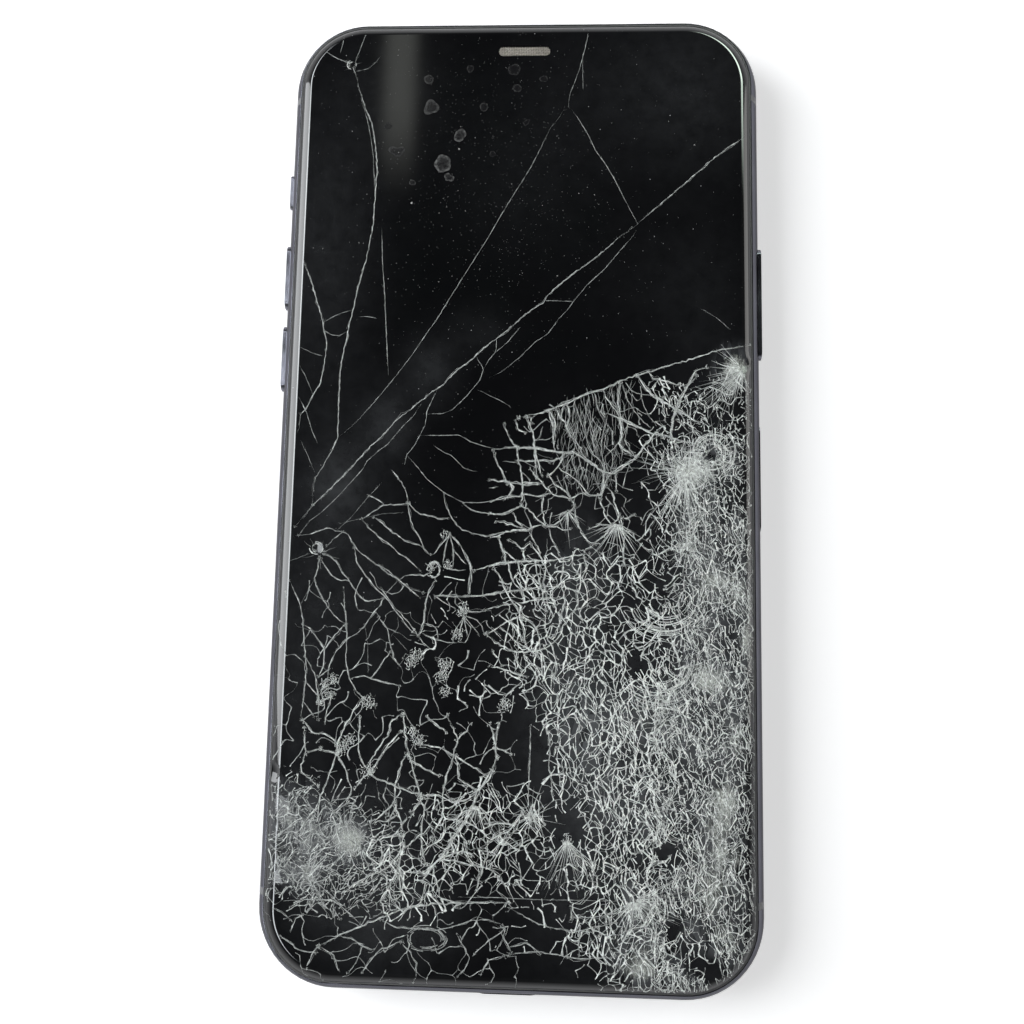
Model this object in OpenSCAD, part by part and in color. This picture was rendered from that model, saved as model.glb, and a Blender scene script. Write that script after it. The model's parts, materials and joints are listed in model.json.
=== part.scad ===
// Smartphone with a shattered display glass, lying on its back.
// Units are millimetres. X is the width, Y the height with the earpiece at +Y, and Z points
// out of the screen. The origin is at the middle of the outline, on the surface that the
// camera bump touches.

/* [Phone] */
// Width over the side rails, without the buttons
phone_w = 70.9; // [60:0.1:86]
// Height over the top and bottom rails
phone_h = 143.6; // [122:0.1:173]
// Thickness from the back glass to the display glass
phone_t = 7.7; // [6.4:0.1:9.3]
// Radius of the outline's corners, seen from the front
corner_r = 11.2; // [9.4:0.1:13.5]

/* [Rail] */
// Thickness of the steel rail, from the outline inwards
rail_w = 2.6; // [2.3:0.1:3.2]
// How far the rail's lip lies inside the widest point of its bulge
rail_bulge = 1.2; // [0.8:0.1:1.4]
// Width of the flat lip between the bulge and the seat
lip_w = 0.1; // [0.05:0.05:0.2]
// Width of each plastic antenna break
break_w = 1; // [0.6:0.1:1.4]
// Depth of the antenna breaks into the rail
break_depth = 1.5; // [1:0.1:1.8]
// Distance from each end of the phone to its side antenna breaks
break_end = 13.2; // [12:0.1:16]

/* [Glass] */
// Thickness of the display glass
glass_t = 0.8; // [0.7:0.05:1]
// How far the display glass lies inside the outline
glass_inset = 1.6; // [1.5:0.05:1.9]
// How far both glasses' edges fall below their flat faces
edge_drop = 0.6; // [0.4:0.05:0.65]
// Width of the curved edge of both glasses
edge_run = 1.5; // [1.2:0.05:2]
// Thickness of the back glass
back_t = 0.8; // [0.7:0.05:1]
// Width of each main crack in the display glass at its middle
crack_w = 0.12; // [0.08:0.01:0.2]
// Depth of the cracks below the glass face
crack_depth = 0.3; // [0.2:0.05:0.5]

/* [Display] */
// Thickness of the display panel
panel_t = 0.85; // [0.7:0.05:1]
// Thickness of the metal plate behind the panel
display_plate_t = 0.2; // [0.15:0.05:0.3]
// How far the panel lies inside the outline
panel_inset = 3; // [2.8:0.1:3.6]
// Width of the sensor notch in the panel
notch_w = 34.8; // [32:0.1:40]
// Distance from the top of the phone to the notch's lower edge
notch_end = 9; // [8.6:0.1:11]
// Length of the earpiece slot
ear_l = 7.9; // [6.5:0.1:9.5]
// Height of the earpiece slot
ear_h = 1.6; // [1.3:0.1:2]
// Distance from the top of the phone to the earpiece slot's middle
ear_end = 5.8; // [5.2:0.1:6]

/* [Back] */
// Thickness of the steel plate behind the back glass
back_plate_t = 0.3; // [0.2:0.05:0.4]
// How far the camera bump stands out of the back glass
bump_t = 0.9; // [0.7:0.05:1.1]
// Width of the camera bump
bump_w = 11.8; // [11:0.1:14]
// Height of the camera bump
bump_h = 25.6; // [23:0.1:31]
// Radius of the camera bump's corners
bump_r = 5.4; // [4:0.1:5.4]
// Width of the camera bump's steel ring
bump_wall = 0.9; // [0.7:0.05:1.1]
// Distance from the phone's side to the middle of the bump
bump_side = 12; // [11.5:0.1:14]
// Distance from the top of the phone to the middle of the bump
bump_end = 18.6; // [18:0.1:22]
// Distance between the two rear lenses
lens_pitch = 13.6; // [12.6:0.1:16]
// Radius of the wireless charging coil
coil_r = 20.5; // [17:0.1:22]

/* [Buttons] */
// Height of the button caps, through the phone's thickness
button_h = 2.4; // [2:0.1:2.8]
// How far the caps stand out of the rail
button_proud = 0.4; // [0.2:0.05:0.6]
// Travel of the volume and side buttons
button_travel = 0.25; // [0.2:0.05:0.3]
// Length of each volume button
volume_l = 10; // [8:0.1:11.5]
// Height of the upper volume button's middle above the phone's middle
volume_up_y = 31.3; // [30.2:0.1:32.4]
// Height of the lower volume button's middle
volume_down_y = 18.6; // [17.5:0.1:19.2]
// Length of the side button
side_l = 17; // [14:0.1:20]
// Height of the side button's middle
side_y = 27.4; // [25:0.1:29]
// Length of the ring switch's lever
ring_l = 5.4; // [4.6:0.1:6.4]
// Height of the ring switch's lever, through the phone's thickness
ring_h = 1.4; // [1.2:0.1:1.6]
// Travel of the ring switch's lever
ring_travel = 1; // [0.8:0.1:1.2]
// Height of the ring switch's middle
ring_y = 44.8; // [43.4:0.1:46]

/* [Card tray] */
// Length of the tray's face
tray_l = 15.8; // [14.6:0.1:17]
// Height of the tray's face
tray_h = 2.2; // [2:0.1:2.6]
// Length of the tray behind its face
tray_depth = 14.6; // [13:0.1:16]
// Thickness of the tray's frame
tray_t = 0.9; // [0.7:0.05:1]
// Height of the tray's middle above the phone's middle
tray_y = 1; // [0:0.1:2]

/* [Bottom] */
// Length of the charging port's mouth
port_l = 8.4; // [7.7:0.1:9]
// Height of the charging port's mouth
port_h = 2.6; // [2.4:0.1:2.8]
// Depth of the charging port
port_depth = 7.4; // [6.5:0.1:8]
// Radius of the sound holes
hole_r = 0.75; // [0.6:0.05:0.9]
// Distance between the sound holes
hole_pitch = 2.6; // [2.2:0.1:2.9]
// Distance from the phone's middle to the nearest sound hole
hole_start = 9.4; // [9:0.1:10.5]
// Distance from the phone's middle to each bottom screw
screw_x = 7; // [6.8:0.1:7.4]
// Radius of the bottom screws
screw_r = 0.75; // [0.6:0.05:0.85]
// Height of the space below the battery
bottom_zone = 24; // [22:0.1:28]

/* [Inside] */
// Width of the logic board
board_w = 29; // [24:0.1:31]
// Thickness of the logic board
board_t = 0.8; // [0.6:0.05:1]
// Distance from the card tray's middle down to the board's lower end
board_below = 20; // [18:0.1:24]
// Height of the space above the battery
top_zone = 19; // [18:0.1:24]
// Width of the haptic motor
haptic_w = 23; // [18:0.1:25]

/* [Hidden] */
$fn = 64;

fit = 0.05;                              // glued and seated joints
slide_gap = 0.1;                         // caps, lever and tray in their slots
inner_gap = 0.3;                         // between the pieces inside
far = 20;                                // longer than anything that it cuts

half_w = phone_w / 2;
half_h = phone_h / 2;
z_back = bump_t;
z_front = bump_t + phone_t;
z_mid = (z_back + z_front) / 2;
z_lip_lo = z_back + edge_drop;
z_lip_hi = z_front - edge_drop;
lip_rise = (z_lip_hi - z_lip_lo) / 2;
bulge_r = (lip_rise * lip_rise + rail_bulge * rail_bulge) / (2 * rail_bulge);
edge_r = (edge_run * edge_run + edge_drop * edge_drop) / (2 * edge_drop);
seat_inset = rail_bulge + lip_w;
in_x = half_w - rail_w;
in_y = half_h - rail_w;
panel_edge = max(panel_inset, rail_w + inner_gap);

glass_lo = z_front - glass_t;
gasket_t = 0.3;
z_seat = glass_lo - gasket_t;
panel_lo = glass_lo - panel_t;
display_lo = panel_lo - display_plate_t;
z_back_seat = z_back + back_t;
cavity_lo = z_back_seat + back_plate_t;
cavity_hi = display_lo - inner_gap / 2;
notch_y = half_h - notch_end;
ear_y = half_h - ear_end;

bump_x = half_w - bump_side;
bump_y = half_h - bump_end;
window_t = 0.8;
window_recess = 0.1;
lens_r = 3.4;
camera_body = 10.2;
flash_r = 1.3;

flange_t = 0.5;
flange_rim = 0.6;
pocket_x = in_x + flange_t - fit;
switch_x = pocket_x - fit - flange_t - button_travel - 0.03;
dome_t = 0.35;
switch_t = 0.4;
bracket_t = 0.4;
bracket_x = switch_x - dome_t - switch_t - bracket_t;
bracket_half = min(1.5, display_lo - fit - z_mid);
ring_rim = 0.4;

tray_face_t = 1.3;
tray_lip = 1.2;                          // of the face past the tray's body
tray_rim = 0.55;                         // of the body round the card
tray_body_w = tray_l - 2 * tray_lip;
card_w = tray_body_w - 2 * tray_rim;
card_d = 8.8;
reader_wall = 0.4;
reader_h = tray_t + 4 * slide_gap + 2 * reader_wall;
reader_mouth = in_x - inner_gap;
tray_tail = half_w - tray_face_t - tray_depth;

board_top = z_mid - reader_h / 2;
board_lo = board_top - board_t;
board_r = bracket_x - inner_gap;
board_l = board_r - board_w;
board_y0 = tray_y - board_below;
board_y1 = bump_y - lens_pitch / 2 - camera_body / 2 - inner_gap;
socket_y = (board_y0 + board_y1) / 2 - 4;
socket_h = 0.9;
shield_t = 0.2;
coil_t = 0.26;
tape_t = shield_t + fit;
battery_lo = cavity_lo + tape_t;
battery_l = -(bracket_x - inner_gap);
battery_r = board_l - inner_gap;
battery_y0 = -in_y + bottom_zone;
battery_y1 = in_y - top_zone;
post_r = 1.1;
POSTS = [[board_r - 14, board_y0 + 2], [board_r - 2, board_y0 + 2],
    [board_l + 2, board_y1 - 2], [board_r - 2, board_y1 - 2]];
port_wall = 0.3;
port_z = min(z_mid, display_lo - fit - port_h / 2 - port_wall);
port_back = -half_h + port_depth + 1.2;
speaker_l = screw_x + 2;
hole_count = 6;
mesh_t = 0.2;

// Main cracks, each a line of places on the glass from one end to the other.
CRACKS = [
    [[9.7, 70], [8.2, 62.3], [6.8, 57.1]],
    [[6.8, 57.1], [0.2, 45.5], [-10.2, 27.3], [-17.5, 15.8], [-23.4, 8.4], [-26.3, 5.8]],
    [[6.8, 57.1], [9.8, 52.3], [12.6, 47.6], [17.3, 38.5]],
    [[34, 53], [24.8, 45.3], [17.3, 38.5]],
    [[17.3, 38.5], [4.3, 27.7], [-7.8, 17], [-17.5, 8.7], [-29, -3.7], [-34, -9]],
    [[17.3, 38.5], [7, 25.3], [0.2, 18.1], [-4.2, 15]],
    [[-27.6, 68.4], [-26.4, 64], [-24.1, 57.3], [-22.1, 47], [-23, 33.1], [-26.2, 17],
        [-26.3, 5.8], [-29.5, -0.9]],
    [[-34, 36], [-32.8, 33.5], [-29.2, 23.4], [-28.5, 18.9], [-31, 10.2]],
    [[-20.9, 37.9], [-20, 26.6], [-19.1, 15.3]],
    [[34, 20.3], [17.4, 15.5], [2.4, 9.5], [-1, 8.6]],
    [[-32.6, -8.9], [-24.1, -8.5], [-18.5, -13.6], [-12.9, -16.6]],
    [[-34, -14.6], [-30.2, -20.7], [-29.5, -29.9], [-29.8, -34.8]],
    [[-26, -65.5], [-14.8, -60.3], [0.2, -59]],
];
// Impact pits in the glass: place, radius and depth.
PITS = [[32.9, 17.4, 1.4, 0.35], [27.8, 3.6, 1.1, 0.3], [24.3, -10.6, 0.9, 0.25],
    [-28.7, -10.4, 0.8, 0.3], [-26.4, 64, 0.5, 0.2]];
// A flake of glass is missing from the lower left edge.
FLAKE = [-34.9, -42.2];
FLAKE_R = 3.6;

// A rounded rectangle.
module plan(w, h, r) {
    square([w - 2 * r, h], center = true);
    square([w, h - 2 * r], center = true);
    for (x = [-1, 1], y = [-1, 1])
        translate([x * (w / 2 - r), y * (h / 2 - r)]) circle(r);
}

// A bar with round ends, along the plan's X.
module pill(l, h) {
    square([l - h, h], center = true);
    for (x = [-1, 1]) translate([x * (l - h) / 2, 0]) circle(h / 2);
}

// A box between two corners.
module block(a, b) {
    translate(a) cube(b - a);
}

// A pill that runs along X from x0 to x1, as long as l in Y and as high as h in Z.
module pill_x(x0, x1, y, z, l, h) {
    translate([x0, y, z]) rotate([90, 0, 90]) linear_extrude(x1 - x0) pill(l, h);
}

// A pill that runs along Y from y0 to y1, as long as l in X and as high as h in Z.
module pill_y(y0, y1, x, z, l, h) {
    translate([x, y1, z]) rotate([90, 0, 0]) linear_extrude(y1 - y0) pill(l, h);
}

module rod_x(x0, x1, y, z, r) {
    translate([x0, y, z]) rotate([0, 90, 0]) cylinder(h = x1 - x0, r = r);
}

module rod_y(y0, y1, x, z, r) {
    translate([x, y1, z]) rotate([90, 0, 0]) cylinder(h = y1 - y0, r = r);
}

// Sweeps a profile round a rounded rectangle. The profile's X is the distance outwards
// from the corner's centre and its Y is the height.
module ring_sweep(w, h, r) {
    for (i = [0:3])
        translate([(i == 0 || i == 3 ? 1 : -1) * (w / 2 - r), (i < 2 ? 1 : -1) * (h / 2 - r), 0])
            rotate([0, 0, 90 * i]) rotate_extrude(angle = 90) children();
    for (i = [0:3]) {
        run = (i % 2 == 0 ? h : w) - 2 * r;
        off = (i % 2 == 0 ? w : h) / 2 - r;
        rotate([0, 0, 90 * i]) translate([off, run / 2, 0]) rotate([90, 0, 0])
            linear_extrude(run) children();
    }
}

// A glass sheet whose upper edge falls away in an arc.
module glass_profile(r, t) {
    square([r - edge_run, t]);
    intersection() {
        translate([r - edge_run, 0]) square([edge_run, t]);
        translate([r - edge_run, t - edge_r]) circle(edge_r);
    }
}

module glass_sheet(inset, t) {
    w = phone_w - 2 * inset;
    h = phone_h - 2 * inset;
    r = corner_r - inset;
    ring_sweep(w, h, r) glass_profile(r, t);
    translate([0, 0, t / 2]) cube([w - 2 * r, h - 2 * r, t], center = true);
}

// The outline moved in by an inset and raised between two heights.
module inner_slab(inset, z0, z1) {
    translate([0, 0, z0]) linear_extrude(z1 - z0)
        plan(phone_w - 2 * inset, phone_h - 2 * inset, corner_r - inset);
}

module rail_profile() {
    difference() {
        intersection() {
            translate([corner_r - bulge_r, z_mid]) circle(bulge_r);
            translate([corner_r - rail_w, z_lip_lo]) square([rail_w, z_lip_hi - z_lip_lo]);
        }
        translate([corner_r - far, z_seat]) square([far - seat_inset, far]);
        translate([corner_r - far, z_back_seat - far]) square([far - seat_inset, far]);
    }
}

// Slot and flange pocket of a push button, on the +X side.
module button_cut(y, l) {
    pill_x(in_x - 1, half_w + 1, y, z_mid, l + 2 * slide_gap, button_h + 2 * slide_gap);
    flange_half = button_h / 2 + flange_rim + slide_gap;
    block([in_x - 1, y - l / 2 - flange_rim - slide_gap, z_mid - flange_half],
        [pocket_x, y + l / 2 + flange_rim + slide_gap, z_mid + flange_half]);
}

// Slot and pocket of the ring switch, with room for its travel, on the +X side.
module ring_cut() {
    half_l = ring_l / 2 + slide_gap;
    half_h = (ring_h + ring_travel) / 2 + ring_rim + slide_gap;
    for (s = [-1, 1])
        pill_x(in_x - 1, half_w + 1, ring_y, z_mid + s * ring_travel / 2, 2 * half_l,
            ring_h + 2 * slide_gap);
    block([in_x - 1, ring_y - half_l, z_mid - ring_travel / 2],
        [half_w + 1, ring_y + half_l, z_mid + ring_travel / 2]);
    block([in_x - 1, ring_y - half_l - flange_rim, z_mid - half_h],
        [pocket_x, ring_y + half_l + flange_rim, z_mid + half_h]);
}

// Cap, shank and flange of a push button, on the +X side.
module button_body(y, l) {
    flange_half = button_h / 2 + flange_rim;
    pill_x(pocket_x - fit - flange_t, half_w + button_proud, y, z_mid, l, button_h);
    block([pocket_x - fit - flange_t, y - l / 2 - flange_rim, z_mid - flange_half],
        [pocket_x - fit, y + l / 2 + flange_rim, z_mid + flange_half]);
}

// Dome and base of the switch behind a button, on the +X side.
module button_switch(y) {
    rod_x(switch_x - dome_t, switch_x, y, z_mid, 1.1);
    half = bracket_half - 0.2;
    block([switch_x - dome_t - switch_t, y - 2.2, z_mid - half],
        [switch_x - dome_t, y + 2.2, z_mid + half]);
}

// Sheet bracket behind a row of switches with a foot against the rail at each end.
module switch_bracket(y0, y1) {
    z0 = z_mid - bracket_half;
    z1 = z_mid + bracket_half;
    block([bracket_x, y0, z0], [bracket_x + bracket_t, y1, z1]);
    for (y = [y0, y1 - 1]) block([bracket_x + bracket_t, y, z0], [in_x - fit, y + 1, z1]);
}

module break_cuts(grow) {
    w = break_w + grow;
    for (x = [-1, 1], y = [-1, 1])
        translate([x * half_w, y * (half_h - break_end), z_mid])
            cube([2 * break_depth, w, far], center = true);
    translate([-(half_w - break_end - 4), half_h, z_mid])
        cube([w, 2 * break_depth, far], center = true);
}

module frame_band() {
    color("slategray") difference() {
        ring_sweep(phone_w, phone_h, corner_r) rail_profile();
        break_cuts(0);
        mirror([1, 0, 0]) {
            button_cut(volume_up_y, volume_l);
            button_cut(volume_down_y, volume_l);
            ring_cut();
        }
        button_cut(side_y, side_l);
        pill_x(in_x - 1, half_w + 1, tray_y, z_mid, tray_l + 2 * slide_gap,
            tray_h + 2 * slide_gap);
        pill_y(-half_h - 1, -in_y + 1, 0, port_z, port_l + 2 * port_wall + 2 * fit,
            port_h + 2 * port_wall + 2 * fit);
        for (s = [-1, 1]) {
            rod_y(-half_h - 1, -in_y + 1, s * screw_x, z_mid, screw_r + fit);
            for (i = [0:hole_count - 1])
                rod_y(-half_h - 1, -in_y + 1, s * (hole_start + i * hole_pitch), z_mid, hole_r);
        }
    }
}

module antenna_breaks() {
    color("dimgray") intersection() {
        ring_sweep(phone_w, phone_h, corner_r) rail_profile();
        break_cuts(-2 * 0.01);
        difference() {
            translate([0, 0, z_mid]) cube([phone_w + 2, phone_h + 2, far], center = true);
            translate([0, 0, z_mid]) cube([phone_w - 2 * break_depth + 2 * 0.01,
                phone_h - 2 * break_depth + 2 * 0.01, far + 1], center = true);
        }
    }
}

// The camera bump's outline moved in by an inset.
module bump_plan(inset) {
    translate([bump_x, bump_y]) plan(bump_w - 2 * inset, bump_h - 2 * inset, bump_r - inset);
}

module back_cover() {
    color("black") difference() {
        translate([0, 0, z_back + back_t]) mirror([0, 0, 1])
            glass_sheet(seat_inset + fit, back_t);
        translate([0, 0, z_back - 1]) linear_extrude(far) bump_plan(-fit);
    }
}

// The plate carries posts for the logic board and leaves room for the coil.
module back_plate() {
    color("gray") {
        difference() {
            inner_slab(rail_w + fit, z_back_seat, cavity_lo);
            translate([0, 0, z_back_seat - 1]) linear_extrude(far) bump_plan(bump_wall);
            translate([0, 0, z_back_seat - 1]) cylinder(h = far, r = coil_r + 2 * fit);
        }
        for (p = POSTS)
            translate([p[0], p[1], cavity_lo]) cylinder(h = board_lo - cavity_lo, r = post_r);
    }
}

module camera_ring() {
    edge = 0.35;
    color("slategray") difference() {
        translate([bump_x, bump_y, 0]) ring_sweep(bump_w, bump_h, bump_r) difference() {
            translate([bump_r - bump_wall, 0]) square([bump_wall, z_back_seat]);
            translate([bump_r - edge, 0]) difference() {
                square([edge + 1, edge]);
                translate([0, edge]) circle(edge);
            }
        }
    }
}

module camera_window() {
    color("dimgray") translate([0, 0, window_recess]) linear_extrude(window_t)
        bump_plan(bump_wall + fit);
}

// A camera with its barrel towards the back.
module rear_camera(y) {
    barrel_lo = window_recess + window_t + slide_gap;
    translate([bump_x, y, 0]) difference() {
        union() {
            translate([0, 0, barrel_lo]) cylinder(h = cavity_lo + 1 - barrel_lo, r = lens_r);
            block([-camera_body / 2, -camera_body / 2, cavity_lo + fit],
                [camera_body / 2, camera_body / 2, cavity_hi - inner_gap]);
        }
        translate([0, 0, barrel_lo - 1]) cylinder(h = 1.4, r1 = lens_r * 0.9, r2 = lens_r * 0.5);
    }
}

module wide_camera() {
    color("black") rear_camera(bump_y + lens_pitch / 2);
}

module tele_camera() {
    color("black") rear_camera(bump_y - lens_pitch / 2);
}

module camera_bracket() {
    half = lens_pitch / 2 + camera_body / 2;
    color("silver") block([bump_x - camera_body / 2, bump_y - half, cavity_hi - inner_gap],
        [bump_x + camera_body / 2, bump_y + half, cavity_hi - fit]);
}

module flash_lens() {
    color("khaki") translate([bump_x, bump_y, window_recess + window_t + slide_gap])
        cylinder(h = 0.6, r = flash_r);
}

module flash_board() {
    z = window_recess + window_t + slide_gap + 0.6;
    color("green") block([bump_x - 2.4, bump_y - 1.4, z],
        [bump_x + 2.4, bump_y + 1.4, cavity_lo + 0.6]);
}

// Half the width of a crack at each of its places: nothing at the ends, full in the middle.
function crack_half(p, i) = i == 0 || i == len(p) - 1 ? crack_w / 8 : crack_w / 2;
function across(p, i) =
    let (a = p[max(i - 1, 0)], b = p[min(i + 1, len(p) - 1)], d = b - a)
    [-d[1], d[0]] / norm(d);

module crack(p) {
    left = [for (i = [0:len(p) - 1]) p[i] + across(p, i) * crack_half(p, i)];
    right = [for (i = [len(p) - 1:-1:0]) p[i] - across(p, i) * crack_half(p, i)];
    translate([0, 0, z_front - crack_depth]) linear_extrude(crack_depth + 1)
        polygon(concat(left, right));
}

module cover_glass() {
    color([0.1, 0.11, 0.12]) difference() {
        translate([0, 0, glass_lo]) glass_sheet(glass_inset, glass_t);
        translate([0, ear_y, glass_lo - 1]) linear_extrude(far) pill(ear_l, ear_h);
        for (p = CRACKS) crack(p);
        for (p = PITS)
            translate([p[0], p[1], z_front - p[3]])
                cylinder(h = 2 * p[3], r1 = p[2] / 4, r2 = 1.75 * p[2]);
        translate([FLAKE[0], FLAKE[1], z_front + FLAKE_R - glass_t - 0.1]) sphere(FLAKE_R);
    }
}

// Plastic frame bonded round the display glass. It fills the joint that shows round the
// glass and sits on the rail's seat.
module glass_gasket() {
    outer = seat_inset + fit;
    color("black") ring_sweep(phone_w, phone_h, corner_r) {
        translate([corner_r - panel_edge + fit, z_seat])
            square([panel_edge - fit - outer, gasket_t]);
        translate([corner_r - glass_inset + fit, z_seat])
            square([glass_inset - fit - outer, z_lip_hi - z_seat]);
    }
}

module notch_cut(grow) {
    block([-notch_w / 2 - grow, notch_y - grow, 0], [notch_w / 2 + grow, half_h + 1, far]);
}

module display_panel() {
    color([0.05, 0.05, 0.06]) difference() {
        inner_slab(panel_edge, panel_lo, glass_lo);
        notch_cut(0);
    }
}

// The plate's two lugs take the screws beside the charging port.
module display_plate() {
    color("silver") {
        difference() {
            inner_slab(panel_edge + 0.5, display_lo, panel_lo);
            notch_cut(0.3);
        }
        for (s = [-1, 1])
            difference() {
                block([s * screw_x - 1.2, -in_y + inner_gap, z_mid - 1.4],
                    [s * screw_x + 1.2, -in_y + inner_gap + 0.9, display_lo]);
                rod_y(-in_y - 1, -in_y + 3, s * screw_x, z_mid, screw_r + fit);
            }
    }
}

// Flat cable from the back of the display to its socket on the logic board.
module display_flex() {
    x0 = board_l + 5;
    y0 = board_y1 - 12;
    socket_top = board_top + socket_h;
    color("goldenrod") {
        block([x0, y0, display_lo - 0.12], [x0 + 14, y0 + 9, display_lo]);
        block([x0, y0, socket_top], [x0 + 14, y0 + 0.15, display_lo - 0.12]);
        block([x0, y0, board_top], [x0 + 14, y0 + 3, socket_top]);
    }
}

module earpiece_mesh() {
    color("darkgray") translate([0, ear_y, glass_lo + 0.1]) linear_extrude(glass_t - 0.35)
        pill(ear_l - 2 * fit, ear_h - 2 * fit);
}

module earpiece_speaker() {
    top = glass_lo - fit;
    color("dimgray") {
        block([-6.2, ear_y - 2.4, top - 3.6], [6.2, ear_y + 2.4, top - 0.8]);
        translate([0, ear_y, top - 0.8]) linear_extrude(0.8) pill(ear_l, ear_h + 0.6);
    }
}

// A small camera that looks out through the glass.
module front_module(x, r, w) {
    top = glass_lo - fit;
    difference() {
        union() {
            translate([x, ear_y, top - 1.3]) cylinder(h = 1.3, r = r);
            block([x - w / 2, ear_y - 2.4, top - 3.6], [x + w / 2, ear_y + 2.4, top - 1.3]);
        }
        translate([x, ear_y, top - 0.5]) cylinder(h = 1, r1 = r / 2, r2 = r);
    }
}

module front_camera() {
    color("black") front_module(9.4, 1.9, 4.8);
}

module infrared_camera() {
    color("black") front_module(-13.4, 1.8, 4.8);
}

module dot_projector() {
    color("black") front_module(14.4, 1.5, 4.4);
}

module sensor_bracket() {
    top = glass_lo - fit - 3.6;
    color("silver") block([-16.6, ear_y - 2.4, top - 0.3], [16.8, ear_y + 2.4, top]);
}

// Sealed two-cell pack with an L outline.
module battery() {
    color([0.15, 0.15, 0.16]) {
        block([battery_l, battery_y0, battery_lo], [battery_r, battery_y1, cavity_hi - inner_gap]);
        block([battery_r, battery_y0, battery_lo],
            [board_r, board_y0 - inner_gap, cavity_hi - inner_gap]);
    }
}

// Four pull tabs of adhesive between the battery and the back plate.
module battery_tape() {
    w = 2.4;
    color("ivory") for (x = [battery_l + 1, battery_r - 6 * w])
        for (y = [battery_y0 + 1, battery_y1 - 14])
            block([x, y, cavity_lo], [x + w, y + 13, battery_lo]);
}

module battery_flex() {
    color("goldenrod") {
        block([battery_r + fit, socket_y, board_top],
            [battery_r + 0.2, socket_y + 6, cavity_hi - inner_gap]);
        block([battery_r + 0.2, socket_y, board_top],
            [board_l + 4, socket_y + 6, board_top + socket_h]);
    }
}

module logic_board() {
    color("darkgreen") difference() {
        block([board_l, board_y0, board_lo], [board_r, board_y1, board_top]);
        for (p = POSTS) translate([p[0], p[1], board_lo - 1]) cylinder(h = far, r = 0.6);
    }
}

module board_shields() {
    h = 1.4;
    color("silver") {
        block([board_l + 4, board_y0 + 4, board_top],
            [board_r - 4, tray_y - tray_l / 2 - 1, board_top + h]);
        block([board_l + 5, tray_y + tray_l / 2 + 1, board_top],
            [board_r - 1, board_y1 - 13, board_top + h]);
        block([board_l + 1, socket_y + 8, board_top],
            [board_l + 4.4, board_y1 - 4, board_top + h]);
    }
}

module board_screws() {
    color("silver") for (p = POSTS)
        translate([p[0], p[1], board_top]) difference() {
            cylinder(h = 0.5, r = 0.9);
            translate([0, 0, 0.25]) cylinder(h = 1, r = 0.4, $fn = 6);
        }
}

module charging_coil() {
    color("peru") translate([0, 0, z_back_seat + fit / 2]) difference() {
        cylinder(h = coil_t, r = coil_r);
        translate([0, 0, -1]) cylinder(h = far, r = coil_r / 2);
    }
}

module coil_shield() {
    color("dimgray") translate([0, 0, cavity_lo]) difference() {
        cylinder(h = shield_t, r = coil_r + 1.2);
        for (p = POSTS) translate([p[0], p[1], -1]) cylinder(h = far, r = post_r + fit);
    }
}

module haptic_motor() {
    x0 = battery_l;
    color("silver") block([x0, battery_y0 - inner_gap - 13, cavity_lo + 0.25],
        [x0 + haptic_w, battery_y0 - inner_gap, cavity_hi - inner_gap]);
}

module loudspeaker() {
    color("black") block([speaker_l, -in_y + mesh_t + fit, cavity_lo + 0.25],
        [in_x - corner_r + rail_w, battery_y0 - inner_gap, cavity_hi - inner_gap]);
}

module charging_port() {
    l = port_l + 2 * port_wall;
    h = port_h + 2 * port_wall;
    color("dimgray") difference() {
        pill_y(-half_h + 0.15, port_back, 0, port_z, l, h);
        pill_y(-half_h - 1, port_back - 0.8, 0, port_z, port_l, port_h);
    }
}

module port_contacts() {
    color("gold") block([-3.1, -half_h + 2.4, port_z - 0.35], [3.1, port_back - 0.8, port_z + 0.35]);
}

module port_flex() {
    color("goldenrod") {
        block([battery_l, -in_y + corner_r, cavity_lo],
            [screw_x + 1, battery_y0 - inner_gap, cavity_lo + 0.2]);
        block([-4, port_back, cavity_lo], [4, -in_y + corner_r, cavity_lo + 0.2]);
        block([-4, port_back, cavity_lo], [4, port_back + 0.3, port_z]);
    }
}

module bottom_screws() {
    color("silver") for (s = [-1, 1])
        difference() {
            rod_y(-half_h + 0.2, -in_y + inner_gap + 0.9, s * screw_x, z_mid, screw_r);
            translate([s * screw_x, -half_h + 0.8, z_mid]) rotate([90, 0, 0])
                cylinder(h = 2, r = screw_r * 0.5, $fn = 5);
        }
}

module microphones() {
    color("goldenrod") for (x = [-hole_start - hole_pitch, -hole_start - 4 * hole_pitch])
        block([x - 1.6, -in_y + mesh_t + fit, z_mid - 1], [x + 1.6, -in_y + mesh_t + 1.2, z_mid + 1]);
}

// Woven steel strips behind the two rows of sound holes.
module sound_meshes() {
    color("darkgray") for (s = [-1, 1]) {
        middle = s * (hole_start + (hole_count - 1) * hole_pitch / 2);
        half = (hole_count - 1) * hole_pitch / 2 + hole_r + 0.2;
        block([middle - half, -in_y, z_mid - 1.1], [middle + half, -in_y + mesh_t, z_mid + 1.1]);
    }
}

module volume_up_button() {
    color("slategray") mirror([1, 0, 0]) button_body(volume_up_y, volume_l);
}

module volume_down_button() {
    color("slategray") mirror([1, 0, 0]) button_body(volume_down_y, volume_l);
}

module side_button() {
    color("slategray") button_body(side_y, side_l);
}

// The lever rests at its front stop.
module ring_switch() {
    z = z_mid + ring_travel / 2;
    half = ring_h / 2 + ring_rim;
    color("slategray") mirror([1, 0, 0]) {
        pill_x(pocket_x - fit - flange_t, half_w + button_proud - 0.1, ring_y, z, ring_l, ring_h);
        block([pocket_x - fit - flange_t, ring_y - ring_l / 2 - flange_rim, z - half],
            [pocket_x - fit, ring_y + ring_l / 2 + flange_rim, z + half]);
    }
}

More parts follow.
